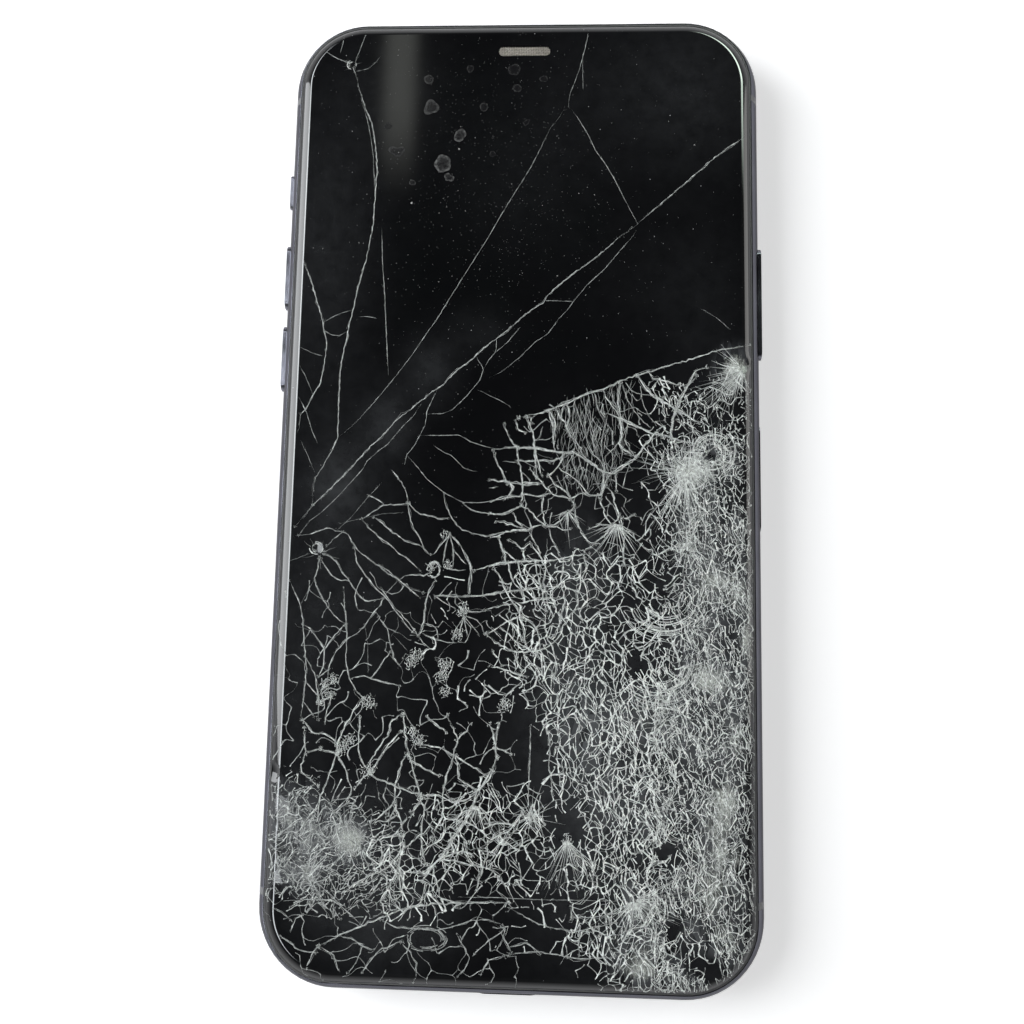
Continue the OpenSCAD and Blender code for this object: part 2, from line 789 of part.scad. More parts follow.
module ring_switch_body() {
    half = bracket_half - 0.1;
    color("black") mirror([1, 0, 0])
        block([bracket_x + bracket_t, ring_y - 3, z_mid - half], [switch_x, ring_y + 3, z_mid + half]);
}

module button_switches() {
    color("gold") {
        mirror([1, 0, 0]) {
            button_switch(volume_up_y);
            button_switch(volume_down_y);
        }
        button_switch(side_y);
    }
}

module button_brackets() {
    end = flange_rim + 2 * slide_gap + 0.2;
    color("silver") {
        mirror([1, 0, 0]) switch_bracket(volume_down_y - volume_l / 2 - end - 1,
            ring_y + ring_l / 2 + end + 1);
        switch_bracket(side_y - side_l / 2 - end - 1, side_y + side_l / 2 + end + 1);
    }
}

// The face is flush with the rail's widest point and has the hole for the eject pin.
module card_tray() {
    x = half_w - tray_face_t;
    color("slategray") difference() {
        union() {
            pill_x(x, half_w, tray_y, z_mid, tray_l, tray_h);
            block([tray_tail, tray_y - tray_body_w / 2, z_mid - tray_t / 2],
                [x, tray_y + tray_body_w / 2, z_mid + tray_t / 2]);
        }
        translate([tray_tail + 1 + card_d / 2, tray_y, z_mid])
            cube([card_d, card_w, far], center = true);
        rod_x(x - 0.5, half_w + 1, tray_y - tray_l / 2 + 1.4, z_mid, 0.45);
    }
}

module card_reader() {
    gap = 2 * slide_gap;
    half = tray_body_w / 2 + gap;
    color("silver") difference() {
        block([tray_tail - gap - reader_wall, tray_y - half - reader_wall, board_top],
            [reader_mouth, tray_y + half + reader_wall, board_top + reader_h]);
        block([tray_tail - gap, tray_y - half, board_top + reader_wall],
            [reader_mouth + 1, tray_y + half, board_top + reader_h - reader_wall]);
    }
}

// Rubber ring against splashes, on the inside of the rail round the tray.
module tray_gasket() {
    l = tray_body_w + 4 * slide_gap;
    h = tray_t + 4 * slide_gap;
    color("black") difference() {
        block([reader_mouth, tray_y - l / 2 - 0.4, z_mid - h / 2 - 0.4],
            [in_x, tray_y + l / 2 + 0.4, z_mid + h / 2 + 0.4]);
        block([reader_mouth - 1, tray_y - l / 2, z_mid - h / 2],
            [in_x + 1, tray_y + l / 2, z_mid + h / 2]);
    }
}

// Sheet cover over the battery and display sockets.
module connector_cover() {
    z = board_top + socket_h + fit;
    color("silver") difference() {
        block([board_l + 0.6, socket_y - 3, z], [board_l + 4, socket_y + 6.4, z + 0.2]);
        translate([board_l + 2.3, socket_y - 1.8, 0]) cylinder(h = far, r = 0.5);
    }
}

module cover_screws() {
    z = board_top + socket_h + fit + 0.2;
    color("silver") translate([board_l + 2.3, socket_y - 1.8, z]) difference() {
        cylinder(h = 0.4, r = 0.9);
        translate([0, 0, 0.2]) cylinder(h = 1, r = 0.4, $fn = 6);
    }
}

module wifi_antenna() {
    color("goldenrod") block([-in_x + corner_r - rail_w, battery_y1 + inner_gap, cavity_lo],
        [-notch_w / 2 - 0.5, in_y - 1, cavity_hi - 1]);
}

frame_band();
antenna_breaks();
back_cover();
back_plate();
camera_ring();
camera_window();
wide_camera();
tele_camera();
camera_bracket();
flash_lens();
flash_board();
cover_glass();
glass_gasket();
display_panel();
display_plate();
display_flex();
earpiece_mesh();
earpiece_speaker();
front_camera();
infrared_camera();
dot_projector();
sensor_bracket();
battery();
battery_tape();
battery_flex();
logic_board();
board_shields();
board_screws();
charging_coil();
coil_shield();
haptic_motor();
loudspeaker();
charging_port();
port_contacts();
port_flex();
bottom_screws();
microphones();
sound_meshes();
volume_up_button();
volume_down_button();
side_button();
ring_switch();
ring_switch_body();
button_switches();
button_brackets();
card_tray();
card_reader();
tray_gasket();
connector_cover();
cover_screws();
wifi_antenna();
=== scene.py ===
import json
import math

import bpy
import numpy as np
from mathutils import Euler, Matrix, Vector
from mathutils.geometry import delaunay_2d_cdt

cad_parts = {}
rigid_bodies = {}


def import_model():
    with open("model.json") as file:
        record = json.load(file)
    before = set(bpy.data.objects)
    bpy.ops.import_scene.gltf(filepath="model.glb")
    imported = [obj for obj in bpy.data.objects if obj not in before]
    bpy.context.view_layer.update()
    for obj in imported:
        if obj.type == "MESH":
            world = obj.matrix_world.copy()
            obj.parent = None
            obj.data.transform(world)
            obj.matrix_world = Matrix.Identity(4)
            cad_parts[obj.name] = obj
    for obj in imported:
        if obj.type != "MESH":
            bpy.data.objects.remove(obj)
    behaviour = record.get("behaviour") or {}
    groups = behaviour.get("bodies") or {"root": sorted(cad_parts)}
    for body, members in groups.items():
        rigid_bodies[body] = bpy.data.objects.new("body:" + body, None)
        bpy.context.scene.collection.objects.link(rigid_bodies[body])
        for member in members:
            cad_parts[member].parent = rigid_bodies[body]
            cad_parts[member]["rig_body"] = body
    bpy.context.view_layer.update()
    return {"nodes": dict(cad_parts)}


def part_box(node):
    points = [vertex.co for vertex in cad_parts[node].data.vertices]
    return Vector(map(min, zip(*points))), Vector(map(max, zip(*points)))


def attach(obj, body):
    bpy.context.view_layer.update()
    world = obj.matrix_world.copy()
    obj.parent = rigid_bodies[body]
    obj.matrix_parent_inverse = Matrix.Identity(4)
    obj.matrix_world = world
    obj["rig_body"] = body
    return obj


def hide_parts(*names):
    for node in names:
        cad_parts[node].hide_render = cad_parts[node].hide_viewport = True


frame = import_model()
nodes = frame["nodes"]
MM = 0.001

# ---- Camera
# It looks down on the phone from 163 mm above, a little towards the earpiece end.
camera = bpy.data.objects.new("camera", bpy.data.cameras.new("camera"))
camera.data.sensor_width = 36
camera.data.lens = 38.12
camera.data.clip_start = 0.005
camera.location = (7.37 * MM, -24.91 * MM, 163.08 * MM)
camera.rotation_euler = Euler([math.radians(turn) for turn in (7.467, 2.770, 1.138)])
bpy.context.scene.collection.objects.link(camera)
bpy.context.scene.camera = camera
bpy.context.scene.view_settings.view_transform = "Standard"


# ---- Floor, window and room
# A pale matt floor, one tall window on the left that lights everything but is mirrored weakly, as
# through a curtain, a weak lamp opposite, and a room bright at the horizon and dim overhead.
def new_material(name):
    """A material with its Principled shader, and short calls that add and join nodes."""
    material = bpy.data.materials.new(name)
    material.use_nodes = True
    tree = material.node_tree
    shader = tree.nodes["Principled BSDF"]

    def add(kind, inputs=(), **settings):
        node = tree.nodes.new(kind)
        for key, value in settings.items():
            setattr(node, key, value)
        for key, value in dict(inputs).items():
            if isinstance(value, bpy.types.NodeSocket):
                tree.links.new(value, node.inputs[key])
            else:
                node.inputs[key].default_value = value
        return node

    return material, shader, add, tree.links.new


def new_mesh(name, points, faces, material, smooth_angle=None):
    """A mesh object in place, from points in millimetres and blocks of corner numbers."""
    mesh = bpy.data.meshes.new(name)
    corners = [face for block in faces for face in block.tolist()]
    mesh.from_pydata((np.asarray(points) * MM).tolist(), [], corners)
    mesh.materials.append(material)
    if smooth_angle is not None:
        mesh.shade_smooth()
        mesh.set_sharp_from_angle(angle=math.radians(smooth_angle))
    piece = bpy.data.objects.new(name, mesh)
    bpy.context.scene.collection.objects.link(piece)
    return piece


def quads(rows, columns, closed=False):
    """The corner numbers of a grid of so many rows and columns, whose last column may join
    its first."""
    index = np.arange(rows * columns).reshape(rows, columns)
    if closed:
        index = np.hstack([index, index[:, :1]])
    sides = [index[:-1, :-1], index[:-1, 1:], index[1:, 1:], index[1:, :-1]]
    return np.stack(sides, axis=2).reshape(-1, 4)


material, shader, add, link = new_material("floor_paper")
shader.inputs["Base Color"].default_value = (0.82, 0.82, 0.82, 1)
shader.inputs["Roughness"].default_value = 0.9
path = add("ShaderNodeLightPath")
seen = add("ShaderNodeMath", {0: path.outputs["Is Camera Ray"], 1: path.outputs["Is Glossy Ray"]},
           operation="MAXIMUM")
seen = add("ShaderNodeMath", {0: seen.outputs[0], 1: path.outputs["Is Transmission Ray"]},
           operation="MAXIMUM")
glow = add("ShaderNodeMath", {0: seen.outputs[0], 1: 0.5}, operation="MULTIPLY")
shader.inputs["Emission Color"].default_value = (1, 1, 1, 1)
link(glow.outputs[0], shader.inputs["Emission Strength"])
ring_radii = np.array([0, 50, 300, 1000, 3000])[:, None]
floor_sides = 64
floor_turn = np.linspace(0, 2 * np.pi, floor_sides, endpoint=False)
floor_points = np.stack([ring_radii * np.cos(floor_turn), ring_radii * np.sin(floor_turn),
                         np.zeros((len(ring_radii), floor_sides))], axis=2).reshape(-1, 3)
floor = new_mesh("floor", floor_points, [quads(len(ring_radii), floor_sides, closed=True)], material)


def area_lamp(name, tilt, turn, distance, size, power, colour, mirrored=True):
    """A rectangle of light that faces the phone from so many metres away, so many degrees off
    the vertical and so many round it from the left. Glossy surfaces may or may not mirror it."""
    lamp = bpy.data.lights.new(name, "AREA")
    lamp.shape = "RECTANGLE"
    lamp.size, lamp.size_y = size
    lamp.energy = power
    lamp.color = colour
    holder = bpy.data.objects.new(name, lamp)
    out, around = math.radians(tilt), math.radians(turn)
    place = Vector((-math.sin(out) * math.cos(around), math.sin(out) * math.sin(around),
                    math.cos(out))) * distance
    holder.location = place
    holder.rotation_euler = place.to_track_quat("Z", "Y").to_euler()
    holder.visible_glossy = mirrored
    bpy.context.scene.collection.objects.link(holder)


daylight = {"tilt": 56, "turn": 15, "distance": 0.7, "size": (0.52, 0.62), "colour": (0.96, 0.98, 1.0)}
area_lamp("window", power=4.0, **daylight)
area_lamp("window_daylight", power=4.6, mirrored=False, **daylight)
area_lamp("fill", tilt=62, turn=165, distance=0.8, size=(0.5, 0.3), power=0.7,
          colour=(1.0, 0.99, 0.96))

world = bpy.data.worlds.new("room")
bpy.context.scene.world = world
world.use_nodes = True
sky = world.node_tree
coordinate = sky.nodes.new("ShaderNodeTexCoord")
axes = sky.nodes.new("ShaderNodeSeparateXYZ")
ramp = sky.nodes.new("ShaderNodeMapRange")
sky.links.new(coordinate.outputs["Generated"], axes.inputs[0])
sky.links.new(axes.outputs["Z"], ramp.inputs["Value"])
for key, value in {"From Min": 0.12, "From Max": 0.62, "To Min": 1.0, "To Max": 0.05}.items():
    ramp.inputs[key].default_value = value
sky.links.new(ramp.outputs[0], sky.nodes["Background"].inputs["Strength"])
sky.nodes["Background"].inputs["Color"].default_value = (0.97, 0.98, 1.0, 1)


# ---- Steel rail
# One polished band of dark steel round the phone, milled from a forging, with a thin coating.
# The plastic antenna breaks are moulded into it and finished flush.
def millimetres(add):
    """The place on a piece, in millimetres, for the material that is being made."""
    return add("ShaderNodeMapping", {0: add("ShaderNodeTexCoord").outputs["Object"],
                                     "Scale": (1 / MM, 1 / MM, 1 / MM)}).outputs[0]


def finish(name, dark, light, grain, rough, metallic=0.0, bump=0.0, speck=0.0, edge=1.0):
    """Wanders between two shades and two roughnesses after a noise with grains of so many
    millimetres, with a relief of so many, and carries so much pale wear in small specks. Edge
    dims what a metal mirrors at a flat angle."""
    material, shader, add, link = new_material(name)
    shader.inputs["Metallic"].default_value = metallic
    shader.inputs["Specular Tint"].default_value = (edge, edge, edge, 1)
    place = millimetres(add)
    coarse = add("ShaderNodeTexNoise", {"Vector": place, "Scale": 1 / grain, "Detail": 6,
                                        "Roughness": 0.6})
    fine = add("ShaderNodeTexNoise", {"Vector": place, "Scale": 9 / grain, "Detail": 3,
                                      "Roughness": 0.7})
    shade = add("ShaderNodeMix", {"Factor": coarse.outputs["Fac"], "A": (*dark, 1),
                                  "B": (*light, 1)}, data_type="RGBA")
    colour = shade.outputs["Result"]
    if speck:
        wear = add("ShaderNodeMapRange", {"Value": fine.outputs["Fac"], "From Min": 0.66,
                                          "From Max": 0.8, "To Max": speck})
        colour = add("ShaderNodeMix", {"Factor": wear.outputs[0], "A": colour,
                                       "B": (0.55, 0.55, 0.53, 1)},
                     data_type="RGBA").outputs["Result"]
    link(colour, shader.inputs["Base Color"])
    gloss = add("ShaderNodeMapRange", {"Value": coarse.outputs["Fac"], "From Min": 0.3,
                                       "From Max": 0.7, "To Min": rough[0], "To Max": rough[1]})
    link(gloss.outputs[0], shader.inputs["Roughness"])
    if bump:
        grit = add("ShaderNodeBump", {"Height": fine.outputs["Fac"], "Strength": 0.4,
                                      "Distance": bump * MM})
        link(grit.outputs[0], shader.inputs["Normal"])
    return material


def smooth_copy(node, name, material):
    """A node's triangles with their shared corners joined, shaded smooth but where they meet
    at more than 35 degrees, as a piece that stands for the node."""
    source = nodes[node].data
    points = np.empty(len(source.vertices) * 3)
    source.vertices.foreach_get("co", points)
    corners = np.empty(len(source.loops), int)
    source.loops.foreach_get("vertex_index", corners)
    kept, place = np.unique(np.round(points.reshape(-1, 3) / MM, 4), axis=0,
                            return_inverse=True)
    faces = place.ravel()[corners].reshape(-1, 3)
    faces = faces[(faces != np.roll(faces, 1, axis=1)).all(axis=1)]
    piece = new_mesh(name, kept, [faces], material, smooth_angle=35)
    weigh = piece.modifiers.new("normals", "WEIGHTED_NORMAL")
    weigh.keep_sharp = True
    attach(piece, nodes[node]["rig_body"])
    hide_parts(node)
    return piece


def paint(node_names, material):
    """Gives CAD nodes their finish and leaves their shape alone."""
    for node in node_names:
        nodes[node].data.materials.clear()
        nodes[node].data.materials.append(material)


steel = finish("rail_steel", (0.13, 0.13, 0.15), (0.2, 0.2, 0.23), grain=6, rough=(0.12, 0.26),
               metallic=1.0, bump=0.004, speck=0.3, edge=0.4)
rail = smooth_copy("frame_band", "steel_rail", steel)
plastic = finish("antenna_plastic", (0.05, 0.05, 0.055), (0.085, 0.085, 0.09), grain=0.8,
                 rough=(0.35, 0.5), bump=0.01)
breaks = smooth_copy("antenna_breaks", "antenna_strips", plastic)

# ---- Buttons, ring switch and card tray
# Steel caps that stand a little out of the rail, with the rail's coating and its small specks of pale
# wear.
for node, name in (("volume_up_button", "volume_up_cap"), ("volume_down_button", "volume_down_cap"),
                   ("side_button", "side_cap"), ("ring_switch", "ring_lever_cap"),
                   ("card_tray", "card_tray_drawer")):
    cap = smooth_copy(node, name, steel)

# ---- Back cover, camera bump and lenses
# A sheet of black-backed glass, glued to its plate, with a steel ring round the raised window
# that two cameras and a flash look out through.
back_black = finish("back_glass", (0.012, 0.012, 0.014), (0.03, 0.03, 0.034), grain=14,
                    rough=(0.05, 0.2), speck=0.12)
back = smooth_copy("back_cover", "back_glass_sheet", back_black)
ring = smooth_copy("camera_ring", "camera_bump_ring", steel)
window_black = finish("camera_window", (0.012, 0.012, 0.016), (0.022, 0.022, 0.03), grain=5,
                      rough=(0.03, 0.08))
paint(["camera_window"], window_black)
lens_black = finish("lens_housing", (0.015, 0.015, 0.017), (0.03, 0.028, 0.034), grain=2,
                    rough=(0.15, 0.35))
paint(["wide_camera", "tele_camera", "front_camera", "infrared_camera", "dot_projector"],
      lens_black)
paint(["flash_lens"], finish("flash_diffuser", (0.7, 0.58, 0.3), (0.85, 0.76, 0.5), grain=0.5,
                             rough=(0.2, 0.35), bump=0.02))

# ---- Inner pieces
# What the phone holds under its glass: pressed steel, wrapped cells, boards, flat cables,
# contacts and screws. Each finish has its two shades, grain, roughnesses, metal and relief.
inner = {
    "pressed_steel": (["back_plate", "display_plate", "camera_bracket", "sensor_bracket",
                       "board_shields", "button_brackets", "card_reader", "connector_cover",
                       "haptic_motor"],
                      ((0.45, 0.45, 0.46), (0.62, 0.62, 0.63), 3, (0.25, 0.45), 1.0, 0.01)),
    "solder_mask": (["logic_board", "flash_board"],
                    ((0.02, 0.09, 0.04), (0.05, 0.17, 0.08), 1.5, (0.3, 0.5), 0.0, 0.02)),
    "battery_wrap": (["battery"],
                     ((0.02, 0.02, 0.022), (0.045, 0.045, 0.048), 4, (0.35, 0.6), 0.0, 0.03)),
    "cable_film": (["display_flex", "battery_flex", "port_flex", "microphones", "wifi_antenna"],
                   ((0.33, 0.19, 0.06), (0.5, 0.32, 0.12), 2, (0.3, 0.5), 0.0, 0.01)),
    "adhesive": (["battery_tape"],
                 ((0.75, 0.74, 0.7), (0.88, 0.87, 0.84), 2, (0.5, 0.7), 0.0, 0.02)),
    "coil_copper": (["charging_coil"],
                    ((0.55, 0.28, 0.14), (0.78, 0.45, 0.26), 0.6, (0.25, 0.4), 1.0, 0.03)),
    "ferrite": (["coil_shield"],
                ((0.07, 0.07, 0.075), (0.12, 0.12, 0.13), 1.5, (0.5, 0.7), 0.0, 0.02)),
    "gold_plate": (["button_switches", "port_contacts"],
                   ((0.7, 0.5, 0.2), (0.85, 0.68, 0.34), 1, (0.15, 0.3), 1.0, 0.005)),
    "screw_steel": (["board_screws", "cover_screws", "bottom_screws"],
                    ((0.38, 0.38, 0.4), (0.55, 0.55, 0.58), 0.7, (0.2, 0.4), 1.0, 0.01)),
    "black_plastic": (["earpiece_speaker", "loudspeaker", "charging_port", "ring_switch_body"],
                      ((0.02, 0.02, 0.02), (0.04, 0.04, 0.042), 1, (0.4, 0.6), 0.0, 0.02)),
    "seal_rubber": (["tray_gasket", "glass_gasket"],
                    ((0.03, 0.03, 0.032), (0.07, 0.068, 0.066), 1, (0.4, 0.6), 0.0, 0.02)),
    "panel_black": (["display_panel"],
                    ((0.006, 0.006, 0.008), (0.012, 0.012, 0.015), 8, (0.1, 0.2), 0.0, 0.0)),
    "grille_steel": (["sound_meshes"],
                     ((0.25, 0.24, 0.22), (0.45, 0.43, 0.4), 0.3, (0.35, 0.6), 1.0, 0.04)),
}
for name, (members, (dark, light, grain, rough, metallic, bump)) in inner.items():
    paint(members, finish(name, dark, light, grain, rough, metallic, bump))

# ---- Display glass
# One sheet of strengthened glass with a rounded edge, bonded over the black panel. Blows at the
# right and lower left have crushed it to powder there, pitted it and knocked a flake off its rim.
glass_low, glass_high = (np.array(corner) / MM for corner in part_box("cover_glass"))
half_w, half_l = glass_high[0], glass_high[1]
face_z = glass_high[2]
corner_r = 9.6
edge_run = 1.25
edge_drop = 0.6
slot_y, slot_w, slot_h = 66.0, 7.9, 1.6
pits = [(32.9, 17.4, 1.4, 0.3), (27.8, 3.6, 1.3, 0.3), (24.3, -10.6, 0.9, 0.2),
        (-28.7, -10.4, 0.9, 0.2), (-26.4, 64.0, 0.6, 0.15)]
flake_centre = (-34.9, -42.2, 11.3)
flake_r = 3.6


def inset(x, y):
    """How far a point lies inside the rounded outline: the corner radius less its distance
    from the rectangle that the corner centres span."""
    past_x = np.abs(x) - (half_w - corner_r)
    past_y = np.abs(y) - (half_l - corner_r)
    outside = np.hypot(np.maximum(past_x, 0), np.maximum(past_y, 0))
    return corner_r - outside - np.minimum(np.maximum(past_x, past_y), 0)


def face_height(x, y):
    """The height of the glass face: level, then down over the last edge_run by edge_drop, as
    a weighted mean of the share of the run and its square, less a bowl at each pit."""
    share = np.clip(1 - inset(x, y) / edge_run, 0, 1)
    height = face_z - edge_drop * (0.42 * share + 0.58 * share ** 2)
    for pit_x, pit_y, radius, depth in pits:
        share = ((x - pit_x) ** 2 + (y - pit_y) ** 2) / radius ** 2
        height = height - depth * np.clip(1 - share, 0, 1) ** 2
    return height


def blobs(x, y, spots):
    """The sum of soft round spots of given centres, half widths and strengths."""
    total = np.zeros_like(x)
    for spot_x, spot_y, wide, tall, strength in spots:
        share = ((x - spot_x) / wide) ** 2 + ((y - spot_y) / tall) ** 2
        total = total + strength * np.exp(-1.2 * share)
    return total


def joined(points, faces):
    """A grid with the points that coincide made one, as quads and the triangles that are left."""
    kept, place = np.unique(np.round(points, 4), axis=0, return_inverse=True)
    faces = place.ravel()[faces]
    repeated = faces == np.roll(faces, -1, axis=1)
    whole = faces[~repeated.any(axis=1)]
    folded = faces[repeated.sum(axis=1) == 1]
    triangles = folded[~repeated[repeated.sum(axis=1) == 1]].reshape(-1, 3)
    return kept, [whole, triangles]


columns = 640
turn = np.linspace(0, 2 * np.pi, 4 * columns, endpoint=False)
outline = np.stack([np.sign(np.cos(turn)) * (half_w - corner_r) + corner_r * np.cos(turn),
                    np.sign(np.sin(turn)) * (half_l - corner_r) + corner_r * np.sin(turn)], axis=1)
length = np.concatenate([[0], np.cumsum(np.hypot(*np.diff(outline, axis=0, append=outline[:1]).T))])
walk = np.linspace(0, length[-1], columns, endpoint=False)
outline = np.stack([np.interp(walk, length, np.append(outline[:, k], outline[0, k]))
                    for k in (0, 1)], axis=1)
hub = np.clip(outline, [-(half_w - corner_r), -(half_l - corner_r)],
              [half_w - corner_r, half_l - corner_r])
outward = (outline - hub) / corner_r
edge_steps = np.linspace(0, edge_run + 0.15, 13)
rim = outline[None] - outward[None] * edge_steps[:, None, None]
spine_end = 36
spine = np.stack([outline[:, 0] * 0, np.clip(outline[:, 1], -spine_end, spine_end)], axis=1)
share = np.linspace(0, 1, 66)[1:, None, None]
field = rim[-1][None] * (1 - share) + spine[None] * share
face = np.concatenate([rim, field])
face = np.dstack([face, face_height(face[..., 0], face[..., 1])])
under = np.dstack([face[:1, :, :2], np.full((1, columns, 1), glass_low[2])])
under_spine = np.dstack([face[-1:, :, :2], np.full((1, columns, 1), glass_low[2])])
sheet = np.concatenate([under_spine, under, face])
sheet_points, sheet_faces = joined(sheet.reshape(-1, 3),
                                   quads(len(sheet), columns, closed=True))

material, shader, add, link = new_material("display_glass")
shader.inputs["IOR"].default_value = 1.5
place = millimetres(add)
crushed = add("ShaderNodeAttribute", attribute_name="cloud").outputs["Fac"]
veil = add("ShaderNodeAttribute", attribute_name="haze").outputs["Fac"]
streak_place = add("ShaderNodeMapping", {0: place, "Rotation": (0, 0, math.radians(-13)),
                                         "Scale": (1.9, 0.6, 1)}).outputs[0]
streaks = add("ShaderNodeTexNoise", {"Vector": streak_place, "Scale": 1.3, "Detail": 9,
                                     "Roughness": 0.78}).outputs["Fac"]
dust = add("ShaderNodeTexNoise", {"Vector": place, "Scale": 0.35, "Detail": 8,
                                  "Roughness": 0.7}).outputs["Fac"]


def sums(kind, first, second, third=0.5):
    """Two or three values worked together, in the material that is being made."""
    return add("ShaderNodeMath", {0: first, 1: second, 2: third}, operation=kind).outputs[0]


def ramped(value, low, high, to_low=0.0, to_high=1.0):
    """A value stretched from one range to another and cut off there, in the same material."""
    return add("ShaderNodeMapRange", {"Value": value, "From Min": low, "From Max": high,
                                      "To Min": to_low, "To Max": to_high}).outputs[0]


def blended(factor, first, second):
    """A colour between two, in the same material."""
    return add("ShaderNodeMix", {"Factor": factor, "A": first, "B": second},
               data_type="RGBA").outputs["Result"]


grain = add("ShaderNodeTexNoise", {"Vector": streak_place, "Scale": 5.5, "Detail": 4,
                                   "Roughness": 0.8}).outputs["Fac"]
powder = ramped(sums("ADD", streaks, sums("MULTIPLY", crushed, 0.45)), 0.8, 1.15, 0, 0.95)
powder = sums("MULTIPLY", powder, ramped(grain, 0.4, 0.62, 0.15, 1.0))
film = sums("MULTIPLY", veil, ramped(dust, 0.3, 0.7, 0.35, 1.0))
shard = add("ShaderNodeTexVoronoi", {"Vector": streak_place, "Scale": 0.55})
shard_tone = add("ShaderNodeSeparateColor", {0: shard.outputs["Color"]}).outputs["Red"]
broken = ramped(crushed, 0.05, 0.4)
grey = sums("ADD", film, sums("MULTIPLY", broken, sums("MULTIPLY", shard_tone, 0.16)))
base = blended(grey, (0.001, 0.0011, 0.0015, 1), (0.4, 0.42, 0.44, 1))
base = blended(powder, base, (0.76, 0.8, 0.72, 1))
speck = add("ShaderNodeTexVoronoi", {"Vector": place, "Scale": 0.9})
lone = ramped(add("ShaderNodeSeparateColor", {0: speck.outputs["Color"]}).outputs["Green"],
              0.86, 0.9)
dot = sums("MULTIPLY", lone, ramped(speck.outputs["Distance"], 0.035, 0.075, 1, 0))
base = blended(dot, base, (0.45, 0.46, 0.46, 1))
link(base, shader.inputs["Base Color"])
gloss = sums("ADD", ramped(powder, 0, 1, 0.05, 0.65), sums("MULTIPLY", film, 0.9))
link(gloss, shader.inputs["Roughness"])
polish = add("ShaderNodeAttribute", attribute_name="rim").outputs["Fac"]
link(ramped(polish, 0, 1, 0.5, 1.0), shader.inputs["Specular IOR Level"])
lean = add("ShaderNodeVectorMath", {0: shard.outputs["Color"], 1: (0.5, 0.5, 0.5)},
           operation="SUBTRACT").outputs[0]
lean = add("ShaderNodeVectorMath", {0: lean, "Scale": sums("MULTIPLY", broken, 0.09)},
           operation="SCALE").outputs[0]
facing = add("ShaderNodeVectorMath", {0: add("ShaderNodeNewGeometry").outputs["Normal"], 1: lean},
             operation="ADD").outputs[0]
facing = add("ShaderNodeVectorMath", {0: facing}, operation="NORMALIZE").outputs[0]
grit = add("ShaderNodeBump", {"Height": powder, "Strength": 0.5, "Distance": 0.05 * MM,
                              "Normal": facing}).outputs[0]
link(grit, shader.inputs["Normal"])

whole_glass = new_mesh("whole_glass", sheet_points, sheet_faces, material)
pill_turn = np.linspace(0, 2 * np.pi, 48, endpoint=False)
pill = np.stack([np.sign(np.cos(pill_turn)) * (slot_w - slot_h) / 2
                 + slot_h / 2 * np.cos(pill_turn), slot_y + slot_h / 2 * np.sin(pill_turn)], axis=1)
pill_rows = np.stack([np.column_stack([pill, np.full(48, height)])
                      for height in (glass_low[2] - 1, face_z + 1)])
slot_cutter = new_mesh("slot_cutter", pill_rows.reshape(-1, 3),
                       [quads(2, 48, closed=True), np.arange(48)[None, ::-1],
                        np.arange(48, 96)[None]], material)
dip = np.linspace(-np.pi / 2, np.pi / 2, 33)[:, None]
swing = np.linspace(0, 2 * np.pi, 48, endpoint=False)
ball = np.dstack([flake_centre[0] + flake_r * np.cos(dip) * np.cos(swing),
                  flake_centre[1] + flake_r * np.cos(dip) * np.sin(swing),
                  flake_centre[2] + flake_r * np.sin(dip) * np.ones(48)])
ball_points, ball_faces = joined(ball.reshape(-1, 3), quads(33, 48, closed=True))
flake_cutter = new_mesh("flake_cutter", ball_points, ball_faces, material)
for cutter in (slot_cutter, flake_cutter):
    cut = whole_glass.modifiers.new(cutter.name, "BOOLEAN")
    cut.object = cutter
    cut.operation = "DIFFERENCE"
    cut.solver = "EXACT"
built = bpy.data.meshes.new_from_object(
    whole_glass.evaluated_get(bpy.context.evaluated_depsgraph_get()))
for spare in (whole_glass, slot_cutter, flake_cutter):
    bpy.data.objects.remove(spare)
built.shade_smooth()
built.set_sharp_from_angle(angle=math.radians(30))
glass = bpy.data.objects.new("shattered_glass", built)
bpy.context.scene.collection.objects.link(glass)
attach(glass, "phone")
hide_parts("cover_glass")


def give(piece, name, values):
    """Stores a number at each point of a mesh."""
    store = piece.data.attributes.new(name, "FLOAT", "POINT")
    store.data.foreach_set("value", np.ascontiguousarray(values, dtype=np.float32))


crush_spots = [
    (31.5, 16.5, 2.8, 3.2, 1), (24.3, 1.5, 3, 2.4, 1), (29, 3.2, 3.6, 3, 0.75),
    (26.5, -3.5, 3, 4.5, 0.7), (24.5, -8.5, 1.8, 3.5, 0.6), (27.5, -14, 4, 5, 0.75),
    (31.5, -8, 1.5, 3.5, 0.7), (31.8, -16, 2, 4, 0.8), (33, -23, 1.4, 3.5, 0.9),
    (26, -23, 3, 6, 0.7), (28.5, -28.5, 4, 2.6, 0.85), (19.5, -33, 4.5, 4, 0.7),
    (27, -36, 5, 4, 0.65), (31.5, -36, 1.8, 7, 0.6), (11, -36, 4, 6, 0.45),
    (13, -44, 4, 5, 0.45), (29, -45.5, 3.5, 4.5, 0.85), (20, -46, 3, 5, 0.55),
    (29, -54, 4, 5, 0.8), (17.5, -58, 2.6, 2.6, 0.7), (18.5, -65, 4.5, 4.5, 0.75),
    (30, -63, 3, 4, 0.8), (24, -56, 3, 4, 0.5), (24, -68.5, 3, 1.6, 0.7),
    (-22.3, -51.3, 2.6, 2.6, 1), (-28, -50, 5.5, 5.5, 0.6), (-27.5, -56.5, 2, 3, 0.7),
    (-31.5, -47, 2, 4, 0.5), (-31, -56, 2.5, 2, 0.6), (9, -14, 5, 9, 0.25), (8, -30, 5, 8, 0.25)]
